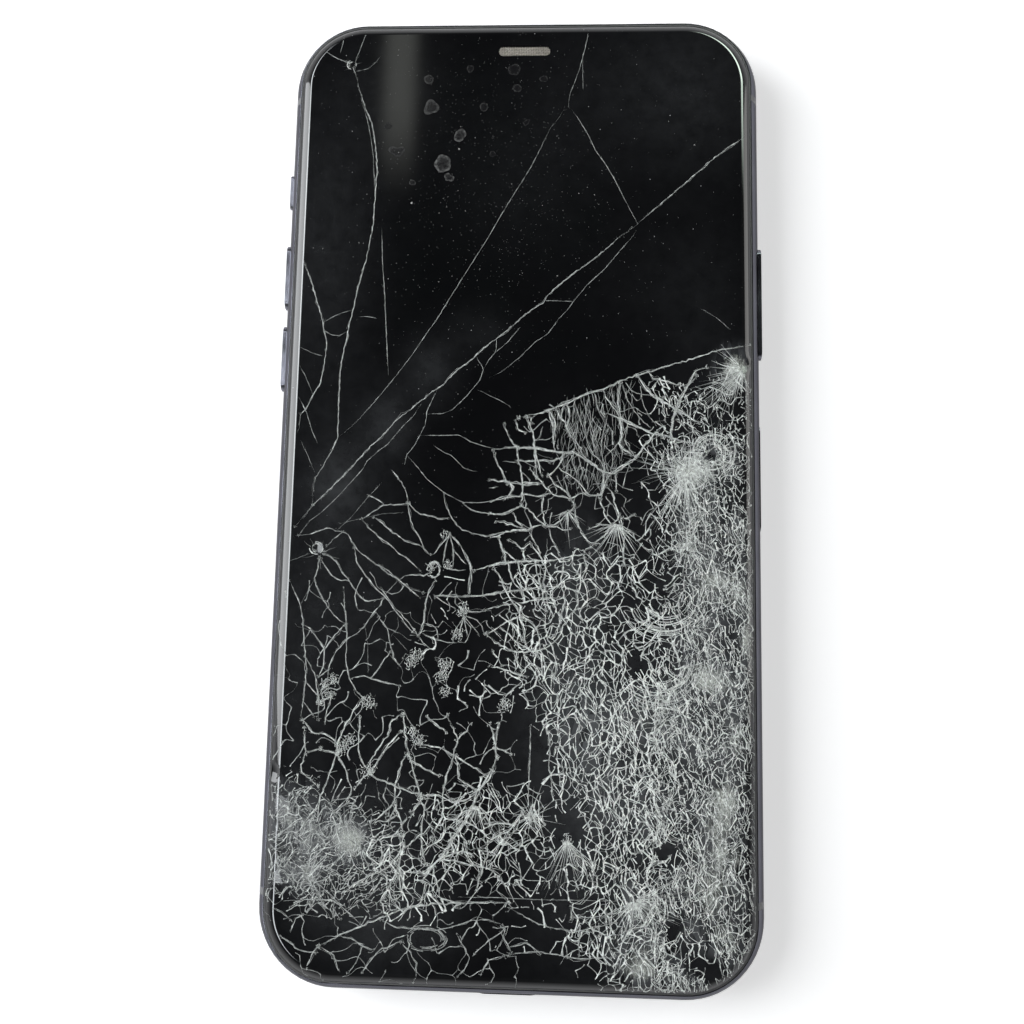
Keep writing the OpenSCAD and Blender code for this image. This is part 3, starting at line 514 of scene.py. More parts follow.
clear_spots = [
    (28, 3.6, 1, 0.8, 0.8), (22, -13.8, 1.6, 1, 0.8), (17.5, -25.5, 1.2, 2, 0.9),
    (23, -62.8, 1.6, 1.5, 0.9), (27.3, -67, 1.8, 1.4, 0.9), (18, 0.3, 3, 2.4, 1),
    (19, -7.5, 2, 3, 1), (22, -52.6, 1.8, 1.2, 0.6)]
dust_spots = [
    (-30, 35, 9, 24, 0.035), (25, 60, 12, 14, 0.035), (-20, 60, 10, 12, 0.015),
    (8, 60, 12, 14, 0.013), (22, 30, 13, 9, 0.012), (0, 45, 12, 12, 0.012),
    (-26, -1, 4, 5, 0.06), (-19, 8, 4, 5, 0.06), (-13, 16, 4, 5, 0.05), (-6, 22, 5, 4, 0.02),
    (9, -24, 11, 24, 0.06), (12, -50, 11, 18, 0.07), (27, -28, 7, 40, 0.09),
    (-20, -30, 14, 24, 0.012), (-26, -52, 7, 7, 0.07), (-30, -30, 4, 16, 0.03),
    (-16, -52, 8, 12, 0.05), (-27, -5, 9, 17, 0.025), (-18, -62, 12, 7, 0.05),
    (-20, -18, 10, 14, 0.02)]
chalk_spots = [
    (29.9, -44.4, 1.5, 2.4, 0.7), (28.3, -48.3, 1.8, 1.1, 0.45), (29.0, -51.2, 1.0, 1.8, 0.65),
    (31.4, -52, 0.8, 1.4, 0.5), (22.7, -30.6, 2.2, 1.6, 0.35), (27, -28.1, 1.8, 1.4, 0.45),
    (32.6, -22.4, 0.8, 1.8, 0.55), (28.4, -14.1, 1.6, 1.4, 0.4), (31.4, 16.6, 1.5, 1.6, 0.6),
    (25, 1.0, 2.2, 1.6, 0.45), (27.5, -58, 2, 3, 0.5), (25, -62, 2, 2.4, 0.5),
    (18.2, -67.4, 2.6, 1.4, 0.7), (-21.8, -51.2, 1.8, 1.6, 0.6), (-28.5, -51, 3, 3, 0.2)]


def crush(x, y):
    """How far the glass is crushed to powder at a point, from 0 to 1."""
    return np.clip(blobs(x, y, crush_spots) - blobs(x, y, clear_spots), 0, 1)


glass_points = np.empty(len(built.vertices) * 3)
built.vertices.foreach_get("co", glass_points)
glass_x, glass_y, glass_z = glass_points.reshape(-1, 3).T / MM
on_face = glass_z > glass_low[2] + 0.01
give(glass, "cloud", (crush(glass_x, glass_y) + blobs(glass_x, glass_y, chalk_spots)) * on_face)
give(glass, "haze", (0.002 + blobs(glass_x, glass_y, dust_spots)) * on_face)
give(glass, "rim", inset(glass_x, glass_y) < edge_run + 0.05)


# ---- Long cracks
# Open fractures that cross the sheet, pale where light is caught on their broken walls. Each is
# a low ridge on the face that narrows at its ends, and the worst have doubles and splinters.
chance = np.random.default_rng(41)


def held_in(path):
    """The same points, with any past the outline brought back to just inside it."""
    core = np.clip(path, [-(half_w - corner_r), -(half_l - corner_r)],
                   [half_w - corner_r, half_l - corner_r])
    arm = path - core
    reach = np.maximum(np.linalg.norm(arm, axis=-1, keepdims=True), 1e-9)
    return core + arm * np.minimum(1, (corner_r - 0.04) / reach)


def strokes(path, half, tone):
    """Closed ridges along n paths of k points: at each point a left foot, a crest and a right
    foot, half a width out along the turned tangent, on the glass face."""
    lift = 0.02
    path = held_in(path)
    along = np.gradient(path, axis=1)
    along = along / np.maximum(np.linalg.norm(along, axis=2, keepdims=True), 1e-9)
    across = along[..., ::-1] * [-1, 1]
    half = np.broadcast_to(half, path.shape[:2])[..., None]
    ridge = np.stack([path + across * half, path, path - across * half], axis=2)
    height = face_height(ridge[..., 0], ridge[..., 1]) + lift * np.array([-0.2, 1, -0.2])
    # The feet are painted a little darker than the crest: painted shade on the ridge's sloping sides,
    # and a softer edge where the crack meets the glass.
    tones = np.broadcast_to(tone, path.shape[:2])[..., None] * np.array([0.85, 1, 0.85])
    return np.concatenate([ridge, height[..., None]], axis=3), tones


def ridge_mesh(name, drawn, material):
    """One piece from several blocks of ridges, each with its tone at every point."""
    points, tones, sides, ends = [], [], [], []
    first = 0
    for block, tone in drawn:
        lines, steps = block.shape[:2]
        index = first + np.arange(lines * steps * 3).reshape(lines, steps, 3)
        index = np.concatenate([index, index[..., :1]], axis=2)
        corners = [index[:, :-1, :-1], index[:, :-1, 1:], index[:, 1:, 1:], index[:, 1:, :-1]]
        sides.append(np.stack(corners, axis=3).reshape(-1, 4))
        ends.append(index[:, 0, [0, 2, 1]])
        ends.append(index[:, -1, [0, 1, 2]])
        points.append(block.reshape(-1, 3))
        tones.append(np.ravel(tone))
        first += lines * steps * 3
    piece = new_mesh(name, np.concatenate(points), [np.concatenate(sides), np.concatenate(ends)],
                     material, 50)
    give(piece, "tone", np.concatenate(tones))
    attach(piece, "phone")


def follow(text, step, stray):
    """A crack through the points that the text gives, with one a step and a little stray."""
    corners = np.array([[float(number) for number in pair.split(",")] for pair in text.split()])
    along = np.concatenate([[0], np.cumsum(np.hypot(*np.diff(corners, axis=0).T))])
    count = max(3, int(along[-1] / step) + 1)
    at = np.linspace(0, along[-1], count)
    line = np.stack([np.interp(at, along, corners[:, k]) for k in (0, 1)], axis=1)
    line[1:-1] += chance.normal(0, stray, (count - 2, 2))
    return line[None]


def wavering(steps, rough):
    """Factors round 1 that wander from step to step."""
    return np.clip(1 + rough * chance.normal(0, 1, steps), 0.3, 2)


def tapered(steps):
    """1 along a line and falling almost to nothing over the last eighth at its two ends."""
    at = np.linspace(0, 1, steps)
    return np.clip(np.minimum(at, 1 - at) / 0.12, 0.15, 1)


material, shader, add, link = new_material("broken_glass")
tone = add("ShaderNodeAttribute", attribute_name="tone").outputs["Fac"]
place = millimetres(add)
glint = add("ShaderNodeTexNoise", {"Vector": place, "Scale": 2.6, "Detail": 5,
                                   "Roughness": 0.75}).outputs["Fac"]
shine = sums("MULTIPLY", tone, ramped(glint, 0.34, 0.64, 0.42, 1.25))
link(blended(shine, (0.01, 0.011, 0.012, 1), (0.9, 0.94, 0.9, 1)), shader.inputs["Base Color"])
link(ramped(glint, 0.3, 0.7, 0.6, 0.3), shader.inputs["Roughness"])
fracture = material

fine = [
    "-26.4,64 -29.2,65.3 -30.9,66.4",
    "-28.3,65.9 -27.8,68.4",
    "-25.9,64.7 -25.3,66.4 -24.3,69.3",
    "-25.8,62.9 -23.9,63.3 -22.7,64.4 -22.1,65.3",
    "-26.4,64 -25.8,62.3",
    "-20.9,37.9 -20.6,32.6 -20,26.6 -19.7,22.2 -19.1,15.3",
    "-29.1,23.3 -27.1,24.4 -25.8,24.9 -24.7,25.2",
    "-29,22 -27.8,21.3 -26.5,21.2 -25.8,21.7",
    "-23.9,24.1 -22.7,24.2 -21.2,23.9",
    "-32.2,11.7 -31,9.5 -30.1,6.8 -29.2,5",
    "6.8,57.1 7,59.1 8.2,62.3 8.8,64.7 9.4,67.4 9.7,69.3",
    "7.3,56.6 9.2,53.6 9.9,52.3 10.9,50.1 12.6,47.6 13.9,45.3 15.8,41.4 17.3,38.5",
    "6.3,57.1 5.4,55.2 4.1,53.6 2.4,49.7 1.3,47.4 0.2,45.5 -1.4,42.8 -3.2,39.6 -4.8,36.5 -7.8,31.4"
    " -10.2,27.3 -12,24.1 -14.3,20.6 -15.4,18.8 -17.5,15.8 -19.1,13.7 -20.9,11.4 -23.4,8.4 -24.9,7"
    " -26.3,5.8",
    "-14.2,10.9 -15.2,9.2 -17,7.3 -18.8,5 -20,4.1 -21.8,2.4 -22.4,1.2 -23.4,-0 -25.8,-2.8 -28.3,-5.3"
    " -29.9,-6.5 -31.3,-8.5 -32.2,-8.8",
    "17.1,37.5 16.5,36.5 14.9,34.6 12.6,31.7 10,29.2 8.1,26.8 7,25.2 5.9,24.1 4.3,21.7 2.4,20.4"
    " 0.2,18.1 -2.3,16 -4.2,15",
    "3.6,26.7 8,26.6",
    "-6.3,18.3 -5.1,16.3 -5.5,14.8 -6.6,13.3 -7.8,11.9 -9.5,10.2 -10.8,9.6 -12.9,9.5",
    "-3.3,20.9 -3.3,19 -4.4,17.6 -5.1,16.3",
    "0.2,22.7 -0.6,21.7 -1.6,20.4 -3.4,18.8",
    "-11.8,13.2 -12.7,11.2 -13.3,9.8 -13.3,8.9 -13.5,7.7 -14.2,6.3 -14.9,4.8 -16,3.4 -16.3,1.9",
    "-14.2,6.3 -11.9,6.3 -8.4,6.4 -6.7,5.4 -5.1,4.9 -3.2,4.4 0.2,4.6",
    "-12.2,4.9 -10.6,3.8 -9.5,3.4 -7.6,1.5 -5.8,1",
    "-16,3.4 -14.3,1.5 -12.9,-0.2 -10.4,-2.1 -7.6,-3.5 -5.1,-3.5 -3.2,-3.2 -0.9,-2.6 -0.5,-1.2",
    "-3.2,4.3 -3.4,3.6 -2.9,2.4 -2.1,1.1",
    "-6.6,-58.4 -1.8,-58.3 4.1,-58.4 9.9,-58.3 15.8,-58.3",
]
main = [
    "-25.8,62.6 -25.1,59.8 -24.2,57.3 -23,54.5 -22.6,52.5 -22.1,49.3 -21.9,46.5 -22.1,43.3 -22.2,38.4"
    " -22.5,36.5 -23,33.1 -23.8,30 -24.3,27.8 -24.7,25.2 -25.1,23.4 -25.7,19.9 -26.2,17 -26.3,14.6"
    " -26.3,8.9 -26.3,5.8 -27.1,3.8 -28.3,1.5 -29,0.4 -29.5,-0.9 -29.6,-2.6 -29.5,-4.1",
    "-32.8,33.5 -32.2,31.9 -31.3,29.8 -30.3,26.8 -29.2,23.4 -29,22.2 -28.5,20.6 -28.6,18.1 -28.8,16"
    " -29.2,13.9 -30.3,12.1 -31,10.2 -31.9,9.3 -32.1,6.8",
    "33.3,52.6 32.4,51.5 30.9,50.6 28.4,48.6 26.6,46.9 24.8,45.3 22.2,43 19.9,41 17.3,38.5",
    "17.3,38.5 14.9,36.7 11.2,33.4 8,30.9 5.5,28.9 4.3,27.7 3.4,26.3 1.7,25.2 0.2,23.9 -1.9,22"
    " -3.3,20.9 -4.6,19.9 -6.3,18.3 -7.8,17 -9.7,15.4 -11,13.8 -12,13.2 -13.4,12.2 -14.5,11.2"
    " -15.6,10.2 -17.5,8.7 -19.8,6.1 -22.1,3.8 -24.2,1.3 -26.5,-1.2 -29,-3.7 -30.7,-5.8 -32,-7.3",
    "-31.3,-8.6 -29.5,-8.4 -27.1,-7.4 -25.8,-8 -24.9,-8 -24.1,-8.5 -23.2,-9.9 -22.1,-11.2 -20.2,-12.4"
    " -18.5,-13.6 -16.6,-14.8 -14.9,-16.1 -12.9,-16.6",
    "-27.1,-10 -25.8,-8.7 -24.9,-8",
    "-28.2,-11.7 -28.3,-13.4 -28.8,-14.9 -28.1,-16.8 -26.7,-18.9 -25.3,-20.4 -24.1,-21.3",
    "-27.8,-12.2 -26.3,-14.3 -25.3,-15 -23.9,-15",
    "-27.4,-11.2 -25.8,-12.2 -24.9,-13.8 -23.9,-14.9 -23,-16.1 -22.1,-17.3 -21,-18 -18.8,-17.5",
    "-23.2,-10.2 -22.7,-12.4 -21.2,-14.5 -19.8,-16.1 -18.7,-17 -17.5,-18.5 -16.1,-20.2 -14.7,-21.9"
    " -13.4,-22.7",
    "-22.2,-6.1 -20.7,-5.1 -19.1,-4 -15.6,-3.8",
    "-21.4,-2.6 -20.2,-3.2 -19.1,-3.9",
    "-22.2,-6.1 -21.2,-7.3 -19.3,-9 -18.2,-9.6 -16.6,-11 -14.9,-12.2 -13.4,-13.6",
    "-20.5,-5.8 -19.3,-6.7 -17.5,-8 -15.9,-9.2 -13.4,-10",
    "-15.6,-3.7 -15.9,-2.1 -16.6,-0.7 -18,1",
    "-15.6,-3.7 -15.4,-5.3 -14.7,-7.3 -13.6,-9 -12.9,-10.6 -12,-11.2",
    "-15.6,-3.7 -14.9,-4.4 -13.8,-5.3 -12.2,-5.5 -11,-6 -9.7,-5.8",
    "-10.4,-2.3 -10.2,-3.7 -9.5,-5.3 -8.5,-6.7 -7.6,-7.5 -5.8,-8 -4.1,-8.4 -1.9,-7.8 0.2,-7.6",
    "-7.6,-3.7 -6.3,-4.6 -4.4,-5 -2.3,-5.2 0.2,-4.1",
    "-9.5,-8 -7.8,-9.9 -6.3,-12.7 -6.4,-15.2 -6.5,-16.6",
    "-16.6,-14.8 -15.2,-14.1 -12.9,-14.1 -12,-13.7",
    "-11.3,-14.8 -12.2,-16.3 -12.7,-18.5 -12.8,-20.7 -13.6,-22.8",
    "-11.3,-17 -9,-17 -6.5,-17 -2.7,-16.6 0.2,-16.1",
    "-32.4,-15.2 -31.5,-16.8 -30.7,-18.7 -30.2,-20.7 -30,-23.5 -29.6,-25.8 -29.4,-28.1 -29.5,-29.9"
    " -29.8,-34.8",
    "-30.1,-21.5 -29.2,-21.9 -28.1,-23.3 -26.9,-24.9 -26.9,-27.1 -27.6,-28.8",
    "-24.1,-21.3 -25.6,-23 -26.9,-24.9",
    "-24.4,-16.1 -24.3,-18.5 -23.9,-20.7 -23.7,-22.8 -23.8,-25.1 -23.7,-26.9 -23.2,-28.8 -22.1,-30.7"
    " -21,-31.7 -19.3,-32.9",
    "-18.5,-17 -19.1,-18.5 -20.2,-19.8 -21.2,-21.4 -22.6,-22.8 -23.7,-23.4 -25.3,-25.3 -26,-26.9"
    " -26.4,-29.2",
    "-19.3,-20.2 -18,-21.7 -17.5,-23.9 -16.8,-26 -16.1,-27.1",
    "-17.5,-25.1 -18.8,-27.1 -20,-28.8",
    "-23,-29 -21.2,-28.5 -18,-29.4 -15.9,-29.8",
    "-29.6,-26 -28.1,-28.5 -27.5,-31.6 -27.3,-34.8",
    "-26.4,-29.2 -27.5,-31.6",
    "-29.4,-29.5 -27.5,-31.6",
    "-25.2,-29.3 -27.3,-30.7",
    "-25.1,-31.1 -27.3,-32.4",
    "-25.8,-27.5 -27.6,-28.8",
    "-29.7,-32.2 -27.9,-34.4",
    "-25.5,-30.9 -26.1,-33.4 -26.4,-35.3",
    "-17.5,-61.6 -15.3,-62.7 -12.5,-62.8 -9.5,-62.9 -7,-62.2 -5.2,-61.5 -3,-61.2 -0.7,-61.8",
    "-14.4,-64.8 -13.2,-66 -12.5,-67.3 -12.4,-69 -12.8,-69.9",
    "-14.7,-64.5 -16.3,-65.3 -17.5,-65.7 -18.8,-67.3 -19.8,-68.8",
    "-23.1,-64 -21.3,-64.4 -19.8,-65.3 -18.4,-65.7",
    "-19.9,-65.2 -20.5,-67 -21.7,-68.9",
    "-26,-65.5 -26.9,-66.5 -27.6,-68.6",
    "-25.8,-65.6 -23.8,-66.6 -23.1,-68.7",
    "-32.4,-60.7 -30.9,-61.5 -30.1,-62.1",
    "-31.4,-64.3 -29.8,-65.3 -28.6,-66.2 -26.2,-66.4",
    "-7,-63.3 -5.9,-65 -5,-66.5 -5.7,-67.8 -6.7,-69",
    "-4.5,-66 -2.6,-64 -0.9,-62.9 -0.4,-62.3",
    "-0.9,-62.9 0.6,-65.4",
    "-30.4,-60.5 -28.1,-59.3 -24.3,-59.3 -22.2,-60.7 -20.1,-62.5",
    "-28.3,-61.4 -29.5,-62 -29.9,-63.6",
    "-23.2,-61.7 -24.4,-60.3",
    "-3.5,-68.4 -2.4,-66.6 -0.4,-65.9",
    "0.2,-59.6 4.1,-61.6 9,-62.6 14.8,-61.1",
    "9,-60.6 11.9,-60.5 14.8,-59.9",
    "2.7,-34.8 2.7,-39.6 2.5,-44.5",
    "5.4,-35.7 5.4,-40.6 6,-44.5",
    "13.4,-58.2 13.4,-61.1",
    "8.7,-59.1 8.7,-61.1",
    "0.2,-65.8 4.1,-65.2 9.9,-66 14.8,-65.6",
    "9.9,-61.5 9.8,-65.6",
    "0.2,-64.8 2.7,-64.2 4.7,-65.6",
]
hair = [
    "-24.6,57.7 -23.7,55 -23.1,52.3 -22.6,49.3 -22.3,45.3 -22.1,43",
    "-32.3,19.4 -30.7,18.6 -29,18.1",
    "-32.3,16.5 -31.5,15.1 -30.3,12.5",
    "-31.7,5.4 -30.7,3.4 -29.4,0.6",
    "8.9,64.7 8.9,61.9 9,59.6",
    "-19.5,-0.7 -21.2,-2.6 -23.9,-6 -25.8,-7.8",
    "26.6,25.5 28.7,24.3 30.8,22.4",
    "-6,13.2 -3.2,11.9 -1.2,10.8",
    "-30.7,-18.7 -29.7,-16.8 -28.8,-14.9",
    "-21.2,-21.4 -20.7,-24 -20.5,-28.3",
    "-32.8,-12.5 -30.6,-11.6 -29.5,-11.2",
    "-25.4,-6.8 -19.3,-5.3 -16.4,-5.1",
    "-16.6,-14.8 -18.5,-17",
    "-17.2,-22.6 -15.9,-23.9 -14.9,-25",
    "-16.5,-20.4 -16.4,-21.6 -17.3,-22.7",
]
bright = [
    "33.6,20.2 29.4,19.4 24.6,17.8 20.9,16.7 17.4,15.5 14.9,14.7 12.4,13.4 9.5,12.5 7,11.2 4.8,10.3"
    " 2.4,9.5 0.2,9.1",
    "27.3,16.7 25.9,16.3 24.6,13.9 23.4,11.6 22.8,10.2",
    "17.4,15.5 18.6,13.4 20.9,11.9 22.8,10.5 24.6,9.5",
    "19,16 19.7,15.1 21.5,14.7 23.4,14.1",
    "14.8,14.4 14.5,12.1 14.9,9.5 15.1,6.6 14.9,5.2 15.8,4.3 17.2,3.6",
    "12.6,9.8 14.9,9.2 17.2,8 19.7,7 22.2,6.3 24.8,5.7",
    "20.2,7.3 18.5,5 17.2,3.4 14.9,1.9 13.9,1.2",
    "22.8,10.5 22.2,8 22.3,5.9",
    "1.5,9.2 2.3,6.8 2.6,3.6 3,0.4",
    "4.5,10.2 5.1,8.2 5.4,5.4",
    "0.2,4.5 2.6,4.6 6.3,4 8.7,3.8 10.5,2.6 12.7,1.1",
    "-29.3,-36.2 -29,-39.4 -29.6,-41.9 -27.1,-44",
    "-26.9,-38.8 -28.8,-39.4",
    "-24.5,-39.4 -26.9,-38.8",
    "-24.5,-39.4 -25.3,-41.6 -26,-44.2 -27.1,-46.6 -28.8,-49.2",
    "-24.5,-39.4 -23.3,-41.4 -22.2,-44.4 -22.7,-45.9",
    "-24.5,-39.4 -24.5,-37.9 -23.6,-35.7 -22.3,-33.4 -21,-31.7",
    "-24.5,-37.9 -26.2,-36.8 -28.1,-36.6 -29.5,-34.9",
    "-21.5,-34.3 -21.5,-36.2 -21.5,-39 -20.8,-40.6 -19.8,-41.9",
    "-19.8,-41.9 -20.8,-42.8 -21.7,-44.1",
    "-15.4,-33.8 -17,-34.8 -17.5,-36.9 -18.7,-38.6 -19.6,-39.9 -19.8,-41.9",
    "-15.5,-36.2 -17.2,-37.9 -18.8,-40.6 -19.4,-41.9",
    "-19.8,-41.9 -18.7,-42.8 -16.5,-43.6 -14.7,-44.2 -12.7,-44.7",
    "-14.7,-39.4 -15.8,-41.9 -16.2,-44.2 -16.2,-45.9 -18.4,-48.2 -19.5,-48.7",
    "-16.2,-45.9 -15.3,-48 -14.8,-49.8",
    "-14.4,-39.2 -15,-36.6 -15.2,-33.8",
    "-14.4,-39.2 -13.7,-41.1 -13,-43.5 -12.5,-44.9",
    "-14.1,-40 -12.2,-41.1 -9.9,-42.1",
    "-12.7,-37.9 -9.9,-38.3 -8,-39.2 -5.6,-40.6 -3.5,-41.9",
    "-9,-33.8 -8.4,-35.2 -7.5,-37.1 -8,-39.2 -8.9,-41.9 -9.4,-44.7 -9.4,-48 -10.8,-50.4",
    "-7.7,-39.4 -7.2,-42.6 -4.7,-44",
    "-12.2,-45.2 -13.4,-47.5",
    "-11.5,-44.9 -12.2,-48.5 -12.2,-51.3 -11.5,-54.2",
    "-15.3,-50.2 -15,-52.5 -17,-54.9 -20.8,-56.7 -22.7,-58.2",
    "-15,-52.5 -13.4,-51 -12,-49.9 -10.6,-48.2",
    "-15,-52.5 -15.2,-55.2 -14.7,-58.2",
    "-15.2,-55.2 -11.5,-55.3 -10.4,-54.4",
    "-15.3,-55.7 -16.7,-57.5 -17.2,-58.8",
    "-10.4,-54.4 -12,-56.5",
    "-10.4,-54.4 -9.7,-57.5",
    "-9.2,-53.2 -6.6,-52.2 -5,-52.7",
    "-9.4,-53.5 -6.6,-53.7 -3,-54.4",
    "-3,-50.9 -3,-52.7 -3.7,-55 -4.4,-57.5",
    "-1.9,-39.4 -3,-42.6 -4.7,-44.2 -5.3,-47 -7,-49.4 -8.7,-52.5",
    "-2.7,-41.2 -4.1,-43.8 -6.6,-48.6 -9.4,-52.9",
    "-12.5,-44.9 -10.2,-44.7 -7.9,-45.7 -5.7,-45.1 -4.7,-44.2",
    "-18.6,-48.6 -17,-48.5 -15.8,-47.6",
    "-9.2,-36.1 -11.9,-34",
    "-7.6,-37.3 -5.7,-34.9",
    "-3.1,-34.8 -2.2,-37.5 -2,-39.4",
    "-1.8,-34.8 -2.2,-37.5",
    "-2.2,-38 0.2,-38.9",
    "-26,-65.5 -23.8,-64.3 -21.8,-63.3 -19.8,-62.5 -17.5,-61.5 -14.8,-60.3 -12.5,-59.7 -9.5,-59.3"
    " -5.7,-59.1 0.2,-59",
]
upper_net = [
    "-1.9,8 -1.4,6.6 -0.7,5.4 0.1,4.6 0.3,2.7 0.8,0.7 0.9,-0.7 0.9,-2 0.8,-3.8",
    "-0.3,8.5 0.2,7.1 1.2,6.9",
    "1.2,9.1 1.9,8 2.4,6.6 2.6,5 2.8,3.3 3.3,2.1 3.7,0.5",
    "2.1,9.2 2,8.2",
    "-3.5,4.2 -2.1,4.5 0,4.7 1.9,4.7 3.3,4.7 4.9,4.3 6.6,3.9 8.2,4.1 9.5,3.3 10.9,2.6 12,1.6 13.2,1"
    " 14.3,1.1 15.5,2.1 16.8,3 17.8,4.2 18.7,5.6 19.7,6.8 20.5,7 22,6.5 23.5,5.8 26,5.5",
    "4.5,10.2 5.4,8.8 5.6,7.6 5.2,6.6 5.4,5.1 5.6,4.3",
    "5.5,10.4 6.3,9 7.1,8.4 7.2,7.5 7.9,6.1",
    "7.2,11 7.7,9.6 7.3,8.3 7.1,7.5",
    "12.5,13.1 12.9,11.9 14.1,10.5 14.7,9.3 15.1,7.7 15.3,6.6 14.7,5.6 15.5,4.4 17,3.6",
    "17.3,15.5 18.3,13.9 19.3,12.7 21.2,11.5 23.2,10.6 24.1,10 25.5,8.8 26.2,8.6",
    "25.9,15.6 24.7,14 23.7,12.2 23.2,10.6 22.6,9.4 22.4,8 22.2,6.6",
    "15.1,8.9 16.6,8.1 18.2,7.5 19.7,6.8",
    "0.1,2.7 2,2.7 3.5,2.7 5.3,2.7 6.6,3.3 7,3.9",
    "6.6,3.5 6.4,2.3 5.3,1.1 4.5,0.5",
    "2,1.5 2.8,0.5 4,-0.8 5.1,-2 6.3,-2.5 7.9,-2.7 9.2,-2.1 10.1,-1.9",
    "6.4,1.5 7.6,0.8 8.8,0 9.6,-1 10.1,-1.9 11.1,-2.3 12.3,-2.1 12.6,-0.7 13.2,0.8",
    "-1.5,-0.3 0.1,-0.7 1.5,-0.7 3,-0.6",
    "0.9,-2.2 2.5,-2.4 4,-2.4 5,-2",
    "-3.7,-3.3 -2.2,-2.9 -0.6,-2.6 0.9,-2.3",
    "-0.9,-0.5 -0.5,-1.3 -1,-2.7",
    "-3.8,-0.1 -2.6,-0.3 -1.5,-0.3",
    "-3.1,3.4 -2.7,2.2 -1.9,0.7 -1.1,-0.7",
    "7.9,-2.7 8.6,-3.7 7.1,-5.3 6,-6.4 4.6,-6.8",
    "7.9,-2.7 7.1,-1.6 5.7,-0.8 4.9,0.4 4.7,0.7",
    "0.8,-3.8 -0.2,-4.4 -1.7,-5 -2.9,-5.2 -3.7,-5",
    "0.8,-3.8 2.1,-4.6 3.1,-5.7 4.1,-6.5 4.8,-6.9 6,-6.8 7,-7.4 7.9,-7.1",
    "4,-2.4 3.8,-4 4,-5.5 4.4,-6.7",
    "12.1,-2.7 12.6,-4.4 13.1,-5.6 13.8,-6.5",
    "13,-0.9 14,-2.1 14.4,-3.6 14.8,-4.8 14.6,-5.7 14,-6.5 12.7,-8.1 11.4,-9.1 9.9,-10.2",
    "8.4,-3.7 8.7,-5.2 9.1,-6.8 9.6,-7.9 10.8,-9.1 11.8,-9.1",
    "13.8,-6.5 12.3,-6.4 10.6,-7.1",
    "-3.6,-8.5 -2.4,-8.3 -1.5,-7.7 0.2,-7.4 1.8,-7.3 3.1,-6.7 4.1,-6.6",
    "-2.4,-8.5 -2,-9.8 -1.4,-10.8 -1.4,-11.9",
    "-2.7,-6.2 -1.1,-6.5 0.2,-6.8 1.4,-7.2",
    "-0.3,-5 0.2,-6.1 1,-6.9",
    "2.2,-7.3 2.4,-8.6 3.4,-10 3.7,-10.7",
    "-0.9,-8.9 0.3,-9.4 1.1,-10.2 2.2,-9.2",
    "-3.5,-12.7 -2.2,-12.2 -0.6,-12 1.7,-11.9 3.2,-11.9",
    "14.8,-4.8 15.3,-6.3 15.6,-8.2 15.5,-10.2 15.6,-12.1",
    "15.5,-5.5 17.1,-5",
    "15.6,-7.5 16.9,-7.3 17.3,-8.8 18.6,-7.8 19.2,-6.6 20.1,-5.3",
    "18,-9.3 19.4,-10.1 19.9,-10.8 20.7,-10.5 22,-9.7 23.5,-9.3",
    "14.4,1.1 14.4,-0.5 14.4,-1.5",
    "12.7,2.4 12.6,1.6 12.3,-2.7",
]
upper_net_thin = [
    "15,14.7 15.4,13.3 16,11.7 17,10.1 18.3,8.6 19.5,7.6",
    "15.1,14.7 14.6,12.3 14.6,10.3",
    "15.6,14.5 16.6,13.1 17.7,12.7 19.3,12.5",
    "17.8,12.7 18.3,11.1 19.1,9.3 20.1,8.2",
    "-1.9,2.6 -0.9,2.5 0.2,2.5",
    "16.3,2.4 15.7,0.5 15.3,-1.1",
    "17.6,2.8 18.9,2.5 20.1,2.1",
    "13,3.6 13.9,4.6 14.7,5.6",
    "12.6,1.6 12.2,2.8 11.2,3.6 10.3,5.1",
    "13.5,13.9 13.9,11.7 14.5,10.5",
    "12.7,8.3 12.4,6.7 12.2,5.1 12.3,3.6 12.7,2.4",
    "13.3,7.7 12.8,6.3 12.6,4.4",
    "9.7,5.1 10.1,4.3 10.1,3.5",
    "-3.8,-1.3 -2.8,-1.2",
    "8.4,11.2 8.8,9.7 9.5,7.7 10.1,5.9",
    "9.6,12 10,9.9 10.8,7.9 11.4,5.9 12.2,4",
    "10.4,12.2 10,10.3 9.6,8.3 10.1,6.7",
    "11.2,12.7 11.6,10.7 12.5,8.7",
    "7.7,7.9 8.5,5.9 9.3,4.3 9.7,3.2",
    "10.6,7.7 11,5.9 11.6,4.3",
    "6.6,7.5 7.7,6.7 8.9,5.1 9.7,4.3",
    "7.8,3.9 8.2,2.3 8.8,0.8",
    "8.9,3.5 9.3,2 9.7,0.4",
    "10.3,2.8 10.1,1.2 9.7,-0.2",
    "7,-0 7.3,-1.2 7.8,-2.5",
    "5.9,0.4 6.5,-0.8 7.3,-2",
    "8.6,-1.9 8.4,-3.1 8.3,-3.9",
    "3.6,7.6 3.3,6.2 2.7,5.8",
    "2.9,5.8 4.3,5.8 5.2,6.3",
    "7.4,-0.4 8.2,-0.8 8.6,0",
    "19.3,6 19.9,4.6 20.7,3.7 21.4,2.9",
    "20.7,6 21.4,4.7 22.2,3.3 23.2,2.5",
    "23.2,5.3 23.3,4.1 23.7,2.7",
    "24.1,5.3 24.1,3.7 24.5,2.5",
    "22.6,5.6 23.2,3.7 23.5,2.7",
    "2.9,-5.7 4,-4.7 5,-4.3",
    "11,-7.1 11.7,-7.3 12.7,-6.7",
    "15.9,-3.2 16.7,-2.6",
    "4.8,-7 5.1,-8.4 6,-9.9 6.4,-11.2",
    "17,3.6 15.9,5.2 15.5,6.2",
    "25.1,8.4 25.3,7.4 25.8,6.5",
    "23,8.8 23.7,8.4 24.7,7.2",
]
